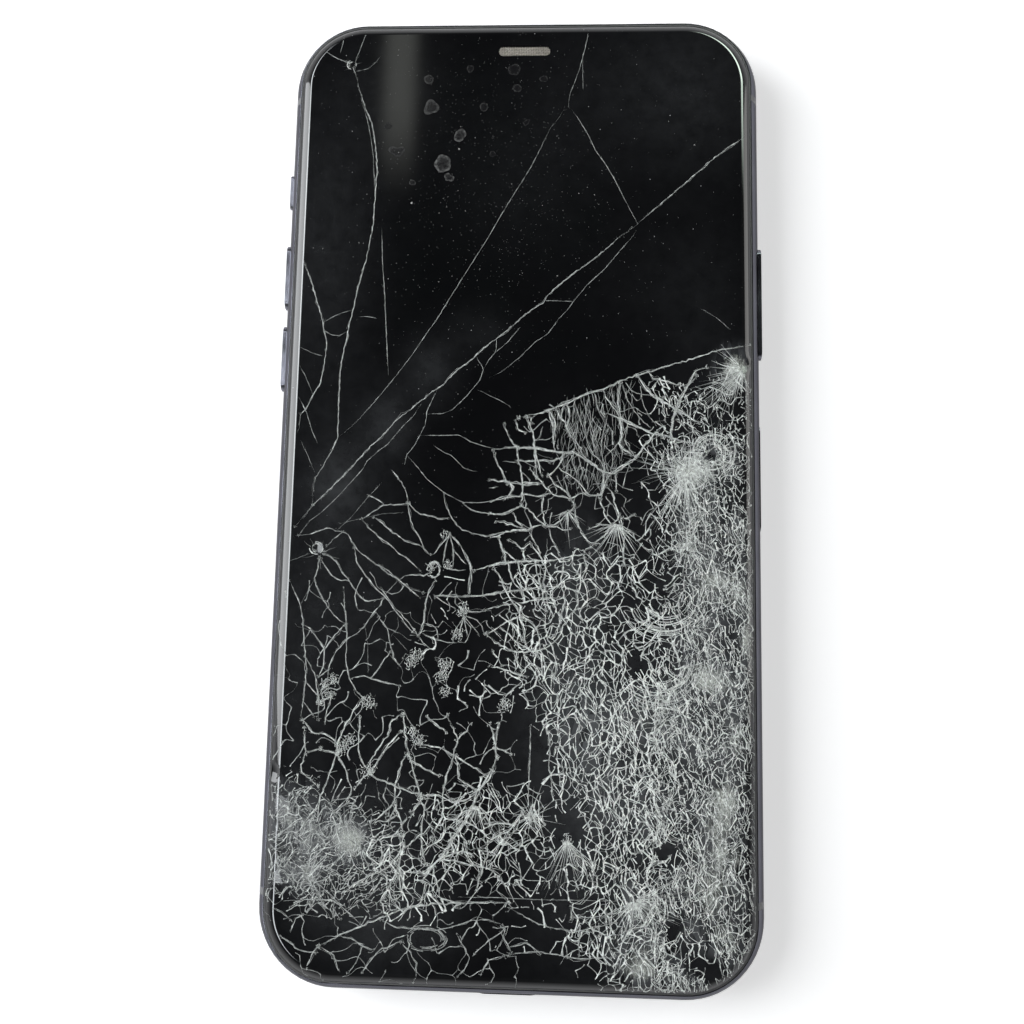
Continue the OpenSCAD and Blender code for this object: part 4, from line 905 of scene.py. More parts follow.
middle_net = [
    "-5.8,-13.3 -4.7,-13 -3.3,-12.6 -2,-12.3 -0.7,-12.1 0.9,-11.8 2.8,-11.8 4.7,-11.8 6.2,-11.4"
    " 8.5,-11 10.6,-10.7",
    "-6.9,-17 -4.6,-16.9 -2.9,-16.5 -1.2,-16.2 1.1,-16.1 2.9,-15.6 4.4,-15.4 6.5,-15.4",
    "-4.2,-18.9 -2.6,-18.5 -1.1,-18.1 0.8,-17.9 2.5,-17.4 4.6,-17.2 6.3,-17.1",
    "-3.9,-22.3 -2.4,-21.6 -1.2,-20.7 0.1,-20 1.2,-19.7 2.2,-20.2 3.3,-21.3 3.7,-22.6 3.8,-24.3",
    "-3.7,-22.5 -2.5,-23.5 -1,-24.2 0.4,-24.8 1.7,-24.7 3.2,-24.6 4.5,-24.2 5.8,-23.3 6.8,-22"
    " 7.3,-20.5 8.2,-19 9.5,-18.4 10.8,-18",
    "-1.8,-21.4 -0.6,-22.3 0.3,-23.3 1.7,-24 2.6,-24.5 3.8,-25.5",
    "-0.3,-20.6 0.5,-21.8 1.3,-22.9",
    "1.2,-20 1.6,-21.5 1.6,-22.9 2,-24 3,-25.1",
    "-0.9,-12.1 -0.6,-13.6 -0,-15.1 0.9,-15.9 1.4,-17.2",
    "0.5,-12 0.9,-13.8 1.5,-14.7 1.8,-15.9",
    "1.1,-12.2 2,-13.6 2.8,-14.5 3.8,-15.2",
    "-2.9,-12.9 -2,-14 -1.7,-15.1 -1.1,-16.3 -0.4,-17.4 0.4,-18.3 1,-19.7",
    "-2.3,-8.4 -1.9,-10 -1.4,-11.1 -1.3,-12.1",
    "-1.7,-10.2 -0.7,-11.1 0.3,-11.9",
    "1.2,-10.3 1.4,-11.8",
    "2.4,-9.5 3.3,-10.7 4.1,-12 4.7,-13.3 5.7,-14.5",
    "3,-11.8 3.2,-13.3 3.6,-14.7 4,-16 4.2,-17.1 4.6,-18.7",
    "4.3,-13.3 4.2,-15 4.6,-16.6 4.8,-17.9 5.6,-19.4",
    "5.5,-15.6 5.4,-16.9 5.9,-18.3",
    "7,-11.2 7,-12.9 6.6,-14.4 7,-16 7.3,-17.5 6.7,-19.4 6.4,-20.9 5.8,-22.4",
    "8.1,-11 8.3,-12.5 9.3,-13.8 9.5,-15.1 9,-16.7 9.2,-18.6",
    "10,-11.1 10.2,-12.8 9.7,-14 10.3,-15.5 10.5,-17",
    "4.6,-19.8 4.5,-21.3 4.9,-22.8 5.6,-23.9 6,-25.4 6.1,-26.9 5.9,-28.4",
    "3.8,-24.3 4.3,-25.4 4.7,-26.7 5.7,-27.8",
    "2.5,-15.8 3.1,-17.2 3.7,-18.3 4.6,-19",
    "1.7,-25.1 2.3,-26.4 3.1,-27.5 3.6,-28.6",
    "0.2,-25 0.6,-26.3 1.4,-27.4",
    "-3.2,-26.9 -1.7,-27.1 -0.5,-27.4 0.8,-27.9 2.1,-28.3",
    "-2.9,-24.6 -2.1,-25.6 -1.5,-26.7",
    "0.7,-0.6 2,-0.4 3.6,-0.6",
    "-1.1,-0.4 -0.3,-1 -1,-2.4 -1.6,-3",
]
left_net = [
    "-9.4,-8.1 -10.5,-9.5 -11.7,-11.1",
    "-9.4,-8.1 -9.9,-9.9 -10.1,-11.4 -10.3,-12.4",
    "-9.4,-8.1 -8.9,-9.9 -8.8,-11.4 -8.8,-12.8",
    "-9.4,-8.1 -8.2,-9.3 -7.6,-10.1",
    "-8.7,-10.5 -7.8,-11.6 -7,-12.4",
    "-7.6,-10.1 -6.8,-11.4 -6.2,-12.7 -6.1,-14.3 -6.3,-15.8 -6.4,-16.9",
    "-9.9,-12.9 -8.9,-13.3 -7.7,-13.4 -7,-13.2",
    "-7,-19.8 -7.7,-21 -8.3,-22.1 -8.6,-23.4",
    "-7,-19.8 -7.5,-21.5 -7.7,-23.2",
    "-7,-19.8 -6.8,-21.3 -6.5,-22.6",
    "-7,-19.8 -5.8,-21.3 -4.8,-22.4",
    "-6.8,-19.8 -5.3,-20.3 -4.5,-21.1 -4.1,-22.3",
    "-7,-19.1 -5.7,-19.2 -4.3,-19.1",
    "-8.2,-16.8 -8.4,-18.1 -7,-19.1",
    "-11.3,-17 -9.7,-18.1 -8.4,-18.7",
    "-11.3,-17 -9.6,-16.9 -8.2,-16.8",
    "-11.5,-15.5 -12.4,-17 -12.6,-18.6 -12.7,-20.1 -12.7,-20.9",
    "-12.7,-20.9 -13.1,-22.2 -13.4,-22.8",
    "-12.7,-20.9 -11.4,-21.2 -10.8,-21.8 -10.7,-23.1",
    "-19.4,-12.6 -18.2,-13.5 -16.8,-14.6 -15.6,-15.6 -14.2,-16.7 -13.4,-17.4",
    "-19.2,-16 -18.4,-17 -17.2,-18.5",
    "-17.2,-18.5 -16,-19.8 -14.6,-21.3 -13.6,-22.6",
    "-13.4,-22.8 -12.8,-23.7 -11.6,-24.6",
    "-12.9,-22.4 -11.3,-23.1 -9.8,-23.5 -8.2,-23.6",
]


def beside(line, away):
    """The same line, moved sideways by a distance that wanders from point to point."""
    run = np.gradient(line, axis=1)
    run = run / np.maximum(np.linalg.norm(run, axis=2, keepdims=True), 1e-9)
    steps = line.shape[1]
    drift = np.interp(np.arange(steps), np.arange(0, steps + 3, 3),
                      chance.normal(0, away, len(np.arange(0, steps + 3, 3))))
    return line + run[..., ::-1] * [-1, 1] * drift[None, :, None]


def traced(lines, half, tone, stray, doubles, frays):
    """Ridges along the lines, each with so many fainter doubles beside it and so many short
    splinters for each point."""
    drawn = []
    for text in lines:
        line = follow(text, 0.5, stray)
        steps = line.shape[1]
        width = half * wavering(steps, 0.3) * tapered(steps)
        drawn.append(strokes(line, width, tone * wavering(steps, 0.3)))
        for _ in range(doubles):
            width = 0.45 * half * wavering(steps, 0.4) * tapered(steps)
            drawn.append(strokes(beside(line, 1.7 * half), width,
                                 0.7 * tone * wavering(steps, 0.4)))
        count = int(frays * steps)
        if count:
            at = chance.integers(0, steps, count)
            run = np.gradient(line[0], axis=0)[at]
            angle = np.arctan2(run[:, 1], run[:, 0]) + chance.normal(0, 0.3, count)
            reach = chance.uniform(0.1, 0.35, count)[:, None]
            arm = np.stack([np.cos(angle), np.sin(angle)], axis=1) * reach
            root = line[0][at] + chance.normal(0, half, (count, 2))
            path = np.stack([root - arm, root + chance.normal(0, 0.03, (count, 2)),
                             root + arm], axis=1)
            drawn.append(strokes(path, 0.03 * np.array([[0.4, 1, 0.4]]),
                                 0.75 * tone * chance.uniform(0.3, 1.2, (count, 1))))
    return drawn


crack_kinds = [
    ("long_cracks", fine, 0.05, 0.32, 0.015, 0, 0.3),
    ("open_cracks", main, 0.07, 0.5, 0.04, 1, 0.8),
    ("hair_cracks", hair, 0.035, 0.28, 0.02, 0, 0.4),
    ("wide_cracks", bright, 0.08, 0.72, 0.06, 2, 1.6),
    ("upper_net_cracks", upper_net, 0.09, 0.7, 0.06, 1, 1.6),
    ("upper_net_hairs", upper_net_thin, 0.05, 0.5, 0.03, 1, 0.8),
    ("middle_net_cracks", middle_net, 0.09, 0.75, 0.05, 1, 1.4),
    ("left_net_cracks", left_net, 0.06, 0.55, 0.03, 1, 1)]
for name, lines, half, tone, stray, doubles, frays in crack_kinds:
    ridge_mesh(name, traced(lines, half, tone, stray, doubles, frays), fracture)

# ---- Shattered field
# Under the blows the strengthened glass broke into cells, which stay bonded in place. They are
# small and drawn out where the blows landed, and larger further off.


def web(seeds):
    """The walls of the cells round the seeds, as pairs of end points: each joins the middles of
    two neighbouring triangles, between centroid and circumcentre."""
    corners, _, faces = delaunay_2d_cdt([Vector(seed) for seed in seeds], [], [], 0, 1e-6)[:3]
    corners = np.array([corner[:] for corner in corners])
    faces = np.array(faces)
    a, b, c = (corners[faces[:, k]] for k in range(3))
    centroid = (a + b + c) / 3
    spread = 2 * np.cross(b - a, c - a)
    spread = np.where(np.abs(spread) < 1e-9, 1e-9, spread)
    ab = ((b - a) ** 2).sum(axis=1)
    ac = ((c - a) ** 2).sum(axis=1)
    offset = np.stack([(c - a)[:, 1] * ab - (b - a)[:, 1] * ac,
                       (b - a)[:, 0] * ac - (c - a)[:, 0] * ab], axis=1) / spread[:, None]
    away = a + offset - centroid
    size = np.sqrt(np.maximum(ab, ac))[:, None]
    reach = np.maximum(np.linalg.norm(away, axis=1, keepdims=True), 1e-9)
    middle = centroid + 0.7 * away * np.minimum(1, 0.4 * size / reach)
    pairs = np.sort(faces[:, [[0, 1], [1, 2], [2, 0]]].reshape(-1, 2), axis=1)
    owner = np.repeat(np.arange(len(faces)), 3)
    order = np.lexsort(pairs.T)
    shared = (pairs[order][1:] == pairs[order][:-1]).all(axis=1)
    return middle[owner[order][:-1][shared]], middle[owner[order][1:][shared]]


def bowed(start, end, steps, bow, stray):
    """Paths from starts to ends, bowed out by a share of their length, with a little stray."""
    at = np.linspace(0, 1, steps)[None, :, None]
    run = end - start
    normal = run[:, ::-1] * [-1, 1]
    swell = chance.normal(0, bow, (len(start), 1, 1)) * 4 * at * (1 - at)
    path = start[:, None] + run[:, None] * at + normal[:, None] * swell
    path[:, 1:-1] += chance.normal(0, 1, path[:, 1:-1].shape) * stray
    return path


def scattered(low, high, cell_x, cell_y):
    """Seeds in a rectangle, one to each cell of a skewed grid and well off its middle."""
    across = np.arange(low[0], high[0], cell_x)
    up = np.arange(low[1], high[1], cell_y)
    x, y = np.meshgrid(across, up)
    x = x + np.where(np.arange(len(up)) % 2, 0.5, 0)[:, None] * cell_x
    jitter = chance.uniform(-0.6, 0.6, (2, *x.shape))
    return np.stack([x + jitter[0] * cell_x, y + jitter[1] * cell_y], axis=-1).reshape(-1, 2)


def net(seeds, half, tone, keep, bend=None, steps=4, bow=0.09, stray=0.03, grain=90, longest=4.0):
    """Ridges on the cell walls of the seeds, after the bend, where keep holds and none is too
    long. Walls that run along the grain, in degrees, are the widest and palest."""
    start, end = web(seeds)
    path = bowed(start, end, steps, bow, stray)
    if bend is not None:
        path = bend(path)
    middle = path[:, steps // 2]
    run = path[:, -1] - path[:, 0]
    kept = keep(middle[:, 0], middle[:, 1]) & (inset(middle[:, 0], middle[:, 1]) > 0)
    kept &= np.hypot(run[:, 0], run[:, 1]) < longest
    path, run = path[kept], run[kept]
    count = len(path)
    along = np.cos(np.arctan2(run[:, 1], run[:, 0]) - math.radians(grain))[:, None] ** 2
    waist = 0.75 + 0.9 * (2 * np.linspace(0, 1, steps) - 1)[None] ** 2
    width = half * waist * np.clip(1 + 0.4 * chance.normal(0, 1, (count, 1)), 0.3, 2.2)
    level = tone * np.clip(1 + 0.4 * chance.normal(0, 1, (count, steps)), 0.2, 1.6)
    return strokes(path, width * (0.8 + 0.3 * along), level * (0.75 + 0.35 * along))


dark_shards = [(18.2, -1.6, 2.6, 2.0), (18.7, -8, 2.0, 2.6), (9.9, -4.2, 1.8, 2.2),
               (2.3, -2.6, 1.4, 1.5), (2.1, -18.1, 1, 1), (20.9, -14.7, 1.3, 0.6),
               (17.5, -25.9, 0.8, 2.1), (3.9, -39.6, 1.2, 3.8), (8.2, -48.8, 1.8, 3.4),
               (-24.7, -42.6, 1.6, 3.0), (-19.5, -44.9, 2, 1.5), (-16.2, -41.1, 2.6, 2.4),
               (22.9, -62, 1.3, 1.6), (27, -66, 1.6, 1.6), (21.8, -51.5, 1.6, 1.3),
               (22.5, -13.6, 1.3, 0.9), (16.6, -17.5, 0.9, 1.0), (19.0, -34.4, 0.8, 1.0)]


def shard_at(x, y):
    """Whether a point lies in one of the large dark shards."""
    inside = np.zeros(np.shape(x), bool)
    for shard_x, shard_y, wide, tall in dark_shards:
        inside |= ((x - shard_x) / wide) ** 2 + ((y - shard_y) / tall) ** 2 < 1
    return inside


def clear_of_shards(seeds):
    """The seeds that lie in none of the large dark shards."""
    return seeds[~shard_at(seeds[:, 0], seeds[:, 1])]


def below_front(x, y, gap=0.0):
    """Whether a point lies under the straight front that the shattering stopped at."""
    return y < 9.1 + 0.327 * x - gap


def strands(low, high, spacing, sway, knit, lean, half, tone, keep):
    """Threads side by side that sway over each other: each is its own place, plus a smooth
    curve through random knots, plus the lean in degrees off upright; cut into short pieces
    that stay where keep holds."""
    steps = 5
    piece = 0.9
    middle = np.add(low, high) / 2
    tall = high[1] - low[1] + 30
    wide = high[0] - low[0] + 60 * abs(math.sin(math.radians(lean)))
    count = int(wide / spacing)
    rows = int(tall / piece) * (steps - 1) + 1
    up = np.linspace(-tall / 2, tall / 2, rows)
    place = np.linspace(-wide / 2, wide / 2, count) + chance.normal(0, spacing / 3, count)
    bends = chance.normal(0, sway, (count, int(tall / knit) + 4))
    at = (up + tall / 2)[None] / knit + chance.uniform(0, 1, (count, 1))
    at = at + 0.35 * np.sin(up / 4.1)[None]
    at = np.clip(at, 0, bends.shape[1] - 2)
    low_knot = at.astype(int)
    share = at - low_knot
    share = share ** 2 * (3 - 2 * share)
    row = np.arange(count)[:, None]
    x = place[:, None] + bends[row, low_knot] * (1 - share) + bends[row, low_knot + 1] * share
    cos, sin = math.cos(math.radians(lean)), math.sin(math.radians(lean))
    path = np.stack([middle[0] + x * cos - up * sin, middle[1] + x * sin + up * cos], axis=2)
    starts = np.arange(0, rows - 1, steps - 1)
    path = path[:, starts[:, None] + np.arange(steps)].reshape(-1, steps, 2)
    centre = path[:, steps // 2]
    within = ((centre > low) & (centre < high)).all(axis=1)
    within &= inset(centre[:, 0], centre[:, 1]) > 0.2
    within &= ~shard_at(centre[:, 0], centre[:, 1])
    path = path[within & keep(centre[:, 0], centre[:, 1])]
    width = half * np.clip(1 + 0.35 * chance.normal(0, 1, (len(path), 1)), 0.4, 2)
    level = tone * np.clip(1 + 0.4 * chance.normal(0, 1, (len(path), steps)), 0.15, 1.6)
    return strokes(path, width, level)


def hairs(count, low, high, lean, spread, length, half, tone, keep):
    """Short strokes at random places where keep holds, near one lean in degrees."""
    place = chance.uniform(low, high, (count, 2))
    place = place[keep(place[:, 0], place[:, 1]) & ~shard_at(place[:, 0], place[:, 1])]
    count = len(place)
    angle = np.radians(chance.normal(lean, spread, count))
    reach = chance.uniform(*length, count)
    heading = np.stack([np.cos(angle), np.sin(angle)], axis=1) * reach[:, None] / 2
    path = bowed(place - heading, place + heading, 4, 0.08, 0.02)
    width = half * chance.uniform(0.5, 1.5, (count, 1)) * np.array([0.4, 1, 1, 0.4])
    level = np.broadcast_to(tone * chance.uniform(0.35, 1.25, (count, 1)), (count, 4))
    return strokes(path, width, level)


def by_crush(least, most):
    """A test that lets a point through more often the more its glass is crushed."""
    return lambda x, y: (chance.uniform(0, 1, x.shape) < least + (most - least) * crush(x, y)) \
        & (inset(x, y) > 0.3) & below_front(x, y, 0.8)


# ---- Crumbled knots
# Where cracks meet, the glass between them has broken into crumbs. They stand on end but are
# still held by the sheet.


def crumbled(centres, size, each, half=0.035, tone=0.8):
    """The walls of so many small cells round every centre, thickest in the middle."""
    centres = np.asarray(centres, float)
    seeds = np.repeat(centres, each, axis=0)
    seeds = seeds + chance.normal(0, size, seeds.shape)

    def near(x, y):
        apart = np.hypot(x[:, None] - centres[:, 0], y[:, None] - centres[:, 1])
        return apart.min(axis=1) < size * chance.uniform(1.0, 2.2, len(x))
    return net(seeds, half, tone, near, bow=0.14, longest=1.6 * size)


def ends_of(lines, below=30.0):
    """The first and last points of the lines that lie below a height."""
    texts = [text.split() for text in lines]
    pairs = [pair for words in texts for pair in (words[0], words[-1])]
    points = np.array([[float(number) for number in pair.split(",")] for pair in pairs])
    return points[points[:, 1] < below]


drawn = [
    crumbled(ends_of(bright), 0.24, 10, 0.03),
    crumbled(ends_of(main, 0), 0.2, 7, 0.025, 0.5),
    crumbled(ends_of(upper_net), 0.22, 8, 0.026, 0.65),
    crumbled(ends_of(middle_net), 0.22, 8, 0.026, 0.65),
    crumbled([(-9.9, -8.2), (-9.6, -12.5), (-11.8, -12.8), (-7.2, -18.6), (-7.4, -19.4)], 0.5, 30),
    crumbled([(-14.4, -26.3), (-13.6, -25.4), (-9.9, -28.3), (-9.6, -26.6)], 0.62, 44),
    crumbled([(-20.4, -32.2), (-14, -36.2), (-13, -37.5), (-1.1, -32.2)], 0.62, 44),
    crumbled([(-23.9, -38.7), (-22.9, -37.6), (-20.0, -41.6)], 0.65, 46),
    crumbled([(-26.6, -29.8), (-25.9, -31.2), (-27.2, -32.4), (-25.4, -29.0)], 0.45, 30),
    crumbled([(3.0, -47.4), (8.0, -50.4), (-9.5, -30.5), (-8.0, -22.5)], 0.55, 40)]
ridge_mesh("crumbled_knots", drawn, fracture)

net_spots = [
    (4, -14.5, 5, 4, 0.8), (13, -13, 6, 4, 0.9), (2.5, -20, 4.5, 4.5, 0.8), (10, -20, 7, 6, 1),
    (17, -20, 5, 7, 0.8), (11, -29, 5, 6, 1), (18, -31, 6, 7, 0.9), (12, -38, 4.6, 6, 1),
    (18, -41, 6, 7, 0.8), (11, -48, 5, 6, 0.8), (18, -51, 6, 7, 0.8), (10.5, -56, 4, 4.5, 0.7),
    (18, -60, 5, 4, 0.9), (19, -66, 6, 4, 0.9), (12, -64.5, 4.5, 3.5, 0.7), (3, -63, 7, 2.5, 0.4),
    (18, -70, 5, 2, 0.9), (-2.5, -47.5, 4.5, 5, 0.7), (-8, -48.5, 4.5, 5, 0.6),
    (3, -49, 4, 5, 0.8), (-3, -53, 5, 2.5, 0.5),
    (1.5, -28, 4, 4, 0.8), (6, -32, 3.4, 5, 0.95), (6.5, -40, 3, 4.5, 0.8),
    (14, -33, 6, 8, 0.5), (2, -56, 4, 3, 0.6), (-14, -60, 7, 3, 0.5),
    (-19, -50.5, 4.5, 5, 0.6), (-26, -53, 7, 8, 0.8), (-29, -63, 4, 5, 0.5), (-20, -60, 5, 3, 0.35),
    (-20, -55, 6, 4, 0.6), (-6, -30, 4, 4, 0.3), (-12, -22, 4, 6, 0.28), (-8, -17, 3, 5, 0.25),
    (-13, -56, 6, 4, 0.6), (-7, -53, 5, 4, 0.5)]


def drift(path):
    """The path pushed about by a few long waves, so that the cells differ and lean."""
    x, y = path[..., 0], path[..., 1]
    move_x = 0.55 * np.sin(0.62 * y + 0.4 * x) + 0.28 * np.sin(1.7 * y - 0.9 * x + 1)
    move_y = 0.5 * np.sin(0.8 * x - 0.35 * y + 2) + 0.3 * np.sin(1.9 * x + 0.8 * y)
    return path + np.stack([move_x, move_y], axis=-1)


def thinned(seeds, least, most):
    """Fewer of the seeds where the net is coarser, and none in the large dark shards."""
    share = least + (most - least) * np.clip(blobs(seeds[:, 0], seeds[:, 1], net_spots), 0, 1)
    return clear_of_shards(seeds[chance.uniform(0, 1, len(seeds)) < share])


def in_net(share, firm=2.2):
    """A test that holds so often inside the net and less and less past its ragged rim."""
    return lambda x, y: (chance.uniform(0, 1, x.shape)
                         < share * np.clip(firm * blobs(x, y, net_spots) - 0.25, 0, 1)) \
        & (y < -8.6 - 0.1 * np.abs(x - 13)) & ~shard_at(x, y)


drawn = [
    net(clear_of_shards(scattered((-1.5, -8), (24, 17), 1.9, 2.0)), 0.055, 0.4,
        lambda x, y: below_front(x, y) & (x > 1) & (x < 21) & (y > -8)
        & (chance.uniform(0, 1, x.shape) < 0.5), drift),
    hairs(420, (5, -1), (17, 14), 88, 16, (0.8, 3.2), 0.03, 0.5,
          lambda x, y: below_front(x, y, 0.4) & (np.abs(x - 10.5) < 4 + 0.2 * y)),
]
ridge_mesh("upper_web", drawn, fracture)
drawn = [
    net(thinned(scattered((-18, -71), (24, -5), 1.5, 2.3), 0.2, 1), 0.08, 0.92, in_net(0.94),
        drift, bow=0.04, stray=0.02),
    net(thinned(scattered((-18, -71), (24, -5), 0.8, 1.35), 0.1, 0.95), 0.048, 0.72, in_net(0.9),
        drift, bow=0.05, stray=0.015),
    strands((4, -66), (22, -24), 1.25, 0.5, 2.2, 2, 0.07, 0.9, in_net(0.75, 1.3)),
    strands((8, -66), (23, -26), 1.5, 0.5, 2.4, 18, 0.055, 0.75, in_net(0.6, 1.3)),
]
ridge_mesh("middle_web", drawn, fracture)
drawn = [
    strands((20, -71), (33.4, 14), 0.66, 0.34, 1.5, 3, 0.05, 0.8, by_crush(0.35, 1.0)),
    strands((20, -71), (33.4, 14), 0.8, 0.3, 1.2, 20, 0.045, 0.7, by_crush(0.25, 0.9)),
]
ridge_mesh("right_strands", drawn, fracture)
drawn = [
    net(clear_of_shards(scattered((19, -71), (34.2, 15), 1.15, 1.7)), 0.065, 0.9,
        by_crush(0.55, 0.95), drift, bow=0.05, stray=0.02),
    net(clear_of_shards(scattered((20, -71), (34.2, 15), 0.62, 0.95)), 0.042, 0.75,
        by_crush(0.3, 0.8), drift, bow=0.06, stray=0.015),
    strands((14, -60), (27, -28), 0.95, 0.3, 1.8, 24, 0.07, 0.95, by_crush(0.55, 1)),
    strands((14, -58), (27, -34), 1.3, 0.3, 1.6, -42, 0.055, 0.85, by_crush(0.4, 0.9))]
ridge_mesh("right_web", drawn, fracture)



def in_corner(x, y):
    """Whether a point lies in the crushed lower left corner, which ends raggedly."""
    share = ((x + 27) / 9.5) ** 2 + ((y + 51) / 9.5) ** 2
    return (share < 0.4 + 0.9 * chance.uniform(0, 1, x.shape)) & (inset(x, y) > 0.2)


drawn = [
    net(scattered((-36, -72), (3, -11), 3.2, 2.9), 0.05, 0.42,
        lambda x, y: (y < -15) & (x < 1.5) & (chance.uniform(0, 1, x.shape) < 0.6), drift,
        bow=0.06, steps=7, stray=0.03, grain=60, longest=5),
    net(scattered((-35, -71), (3, -42), 2.0, 1.8), 0.05, 0.45,
        lambda x, y: (x < 4) & (y < -43) & (y > -60) & (chance.uniform(0, 1, x.shape) < 0.62),
        drift, bow=0.07, steps=5, stray=0.03, grain=50),
    net(clear_of_shards(scattered((-35, -61), (-15, -41), 1.7, 1.5)), 0.055, 0.62, in_corner,
        drift, grain=50),
    net(thinned(scattered((-34, -61), (-16, -42), 0.7, 0.6), 0, 0.9), 0.04, 0.55, in_net(0.7),
        drift, grain=40),
]
ridge_mesh("lower_left_web", drawn, fracture)

# ---- Impact stars
# Each blow sent straight rays out of its own crushed hub, joined by short curved steps.


def star(x, y, inner, outer, rays, turn=(0, 360), half=0.06, tone=0.7, steps=5):
    """Rays from a hub, evenly spread between two turns in degrees with a stray of a third of
    their spacing, from about the inner to about the outer radius."""
    low, high = np.radians(turn)
    angle = np.linspace(low, high, rays, endpoint=False)
    angle = angle + chance.uniform(-0.5, 0.5, rays) * (high - low) / rays
    begin = inner * chance.uniform(0.4, 1.6, rays)
    stop = outer * chance.uniform(0.35, 1.25, rays)
    at = np.linspace(0, 1, steps)
    radius = begin[:, None] + (stop - begin)[:, None] * at
    swing = angle[:, None] + chance.normal(0, 0.09, (rays, 1)) * at
    path = np.stack([x + radius * np.cos(swing), y + radius * np.sin(swing)], axis=2)
    path[:, 1:-1] += chance.normal(0, 0.03, path[:, 1:-1].shape)
    width = half * (1.25 - at)[None] * chance.uniform(0.5, 1.5, (rays, 1))
    level = tone * (1.15 - 0.6 * at)[None] * chance.uniform(0.4, 1.2, (rays, 1))
    return strokes(path, width, level)


def rings(x, y, radii, half=0.05, tone=0.6, squash=1.0, lines=14, sector=(0, 360)):
    """Short arcs round a hub at about the given radii."""
    drawn = []
    low, high = np.radians(sector)
    for radius in radii:
        start = chance.uniform(low, high, lines)
        sweep = chance.uniform(0.4, 1.1, lines)
        angle = start[:, None] + sweep[:, None] * np.linspace(0, 1, 6)
        reach = radius * chance.uniform(0.9, 1.1, (lines, 1)) + chance.normal(0, 0.02, (lines, 6))
        path = np.stack([x + reach * np.cos(angle), y + squash * reach * np.sin(angle)], axis=2)
        drawn.append(strokes(path, half * chance.uniform(0.6, 1.4, (lines, 1)),
                             tone * chance.uniform(0.5, 1.2, (lines, 1))))
    return drawn


drawn = [
    star(24.7, 1.6, 0.8, 5.5, 54, half=0.06, tone=0.85),
    star(24.2, 0.8, 1.5, 11, 34, (225, 300), 0.05, 0.75),
    star(24.2, 1.5, 2, 10, 16, (150, 205), 0.035, 0.45),
    star(28.2, 4.2, 1.2, 4.4, 50, half=0.05, tone=0.8),
    star(24.4, -10.0, 0.4, 4.5, 34, half=0.05, tone=0.75),
    star(32.6, 16.6, 0.8, 5, 34, (130, 290), 0.06, 0.8),
    star(32, 15.8, 1, 9, 30, (195, 262), 0.04, 0.6),
    star(14.5, -6.2, 0.3, 6.5, 26, (200, 340), 0.06, 0.75),
    star(7.5, -4.5, 0.3, 4.5, 14, (205, 340), 0.05, 0.65),
    star(3.0, -47.4, 0.2, 4.2, 26, half=0.05, tone=0.7),
    star(8.0, -50.4, 0.3, 7.0, 30, (225, 320), 0.045, 0.7),
    star(17.3, -58.2, 0.4, 8.0, 54, (200, 400), 0.05, 0.75),
    star(-21.9, -51.3, 0.6, 3.4, 26, half=0.04, tone=0.7),
    star(-22.8, -50.2, 0.8, 5.2, 16, (60, 150), 0.04, 0.6),
    star(-27.1, -57.2, 0.3, 2.8, 14, half=0.04, tone=0.55),
    star(-4.5, -46.0, 0.3, 5.0, 22, (200, 330), 0.05, 0.75),
    star(-1.0, -51.5, 0.3, 4.0, 16, (20, 150), 0.05, 0.7),
    star(-28.2, -11.1, 0.6, 2.6, 9, half=0.04, tone=0.4),
    star(-26.2, 64.0, 0.4, 1.6, 8, half=0.035, tone=0.4),
]
drawn += rings(28.2, 4.2, (1.3, 1.9, 2.6, 3.2), 0.06, 0.85)
drawn += rings(24.7, 1.6, (1.0, 1.8, 2.8), 0.06, 0.85)
drawn += rings(-11.6, -13.3, (0.9, 1.1), 0.07, 0.7, lines=9)
drawn += rings(-28.7, -10.4, (0.6, 0.9), 0.06, 0.7, lines=10)
drawn += rings(-26.4, 64.0, (0.45, 0.7), 0.05, 0.75, lines=10)
drawn += rings(-11.2, -64.0, (2.3, 2.9), 0.05, 0.45, squash=0.55)
drawn += rings(21.5, -16.0, (3.6, 4.4, 5.1, 5.8, 6.6), 0.06, 0.85, lines=7, sector=(195, 320))
drawn += rings(20.4, -25.0, (3.8, 4.5, 5.2, 6.0, 6.8), 0.06, 0.85, lines=7, sector=(205, 325))
ridge_mesh("impact_stars", drawn, fracture)

# ---- Powdered glass
# Past counting, the cracks run beside each other as hairs, all one way, and catch the light as
# silk does.
drawn = [
    hairs(3200, (19.5, -71), (33.4, 20), 104, 15, (0.4, 1.5), 0.035, 0.75, by_crush(0.0, 0.8)),
    hairs(1500, (19.5, -71), (33.4, 20), 30, 50, (0.2, 0.6), 0.035, 0.8, by_crush(0.0, 1)),
    hairs(3400, (-34, -61), (-15, -41), 60, 70, (0.15, 0.7), 0.032, 0.62, by_crush(0.02, 1)),
    hairs(260, (32.4, -66), (34.4, -10), 118, 8, (0.6, 1.6), 0.03, 0.5,
          lambda x, y: x > 33.0 - 0.01 * y),
]
ridge_mesh("crushed_hairs", drawn, fracture)

# ---- Dried drops and dust
# Drops of water have dried on the upper glass and left rings of lime, and dust has settled
# wherever the phone wasn't wiped.
material, shader, add, link = new_material("lime_and_dust")
tone = add("ShaderNodeAttribute", attribute_name="tone").outputs["Fac"]
place = millimetres(add)
blotch = add("ShaderNodeTexNoise", {"Vector": place, "Scale": 2.2, "Detail": 6,
                                    "Roughness": 0.7}).outputs["Fac"]
amount = sums("MULTIPLY", tone, ramped(blotch, 0.35, 0.65, 0.1, 1.3))
link(blended(amount, (0.004, 0.004, 0.005, 1), (0.62, 0.62, 0.6, 1)), shader.inputs["Base Color"])
link(ramped(amount, 0, 0.4, 0.12, 0.7), shader.inputs["Roughness"])
lime = material


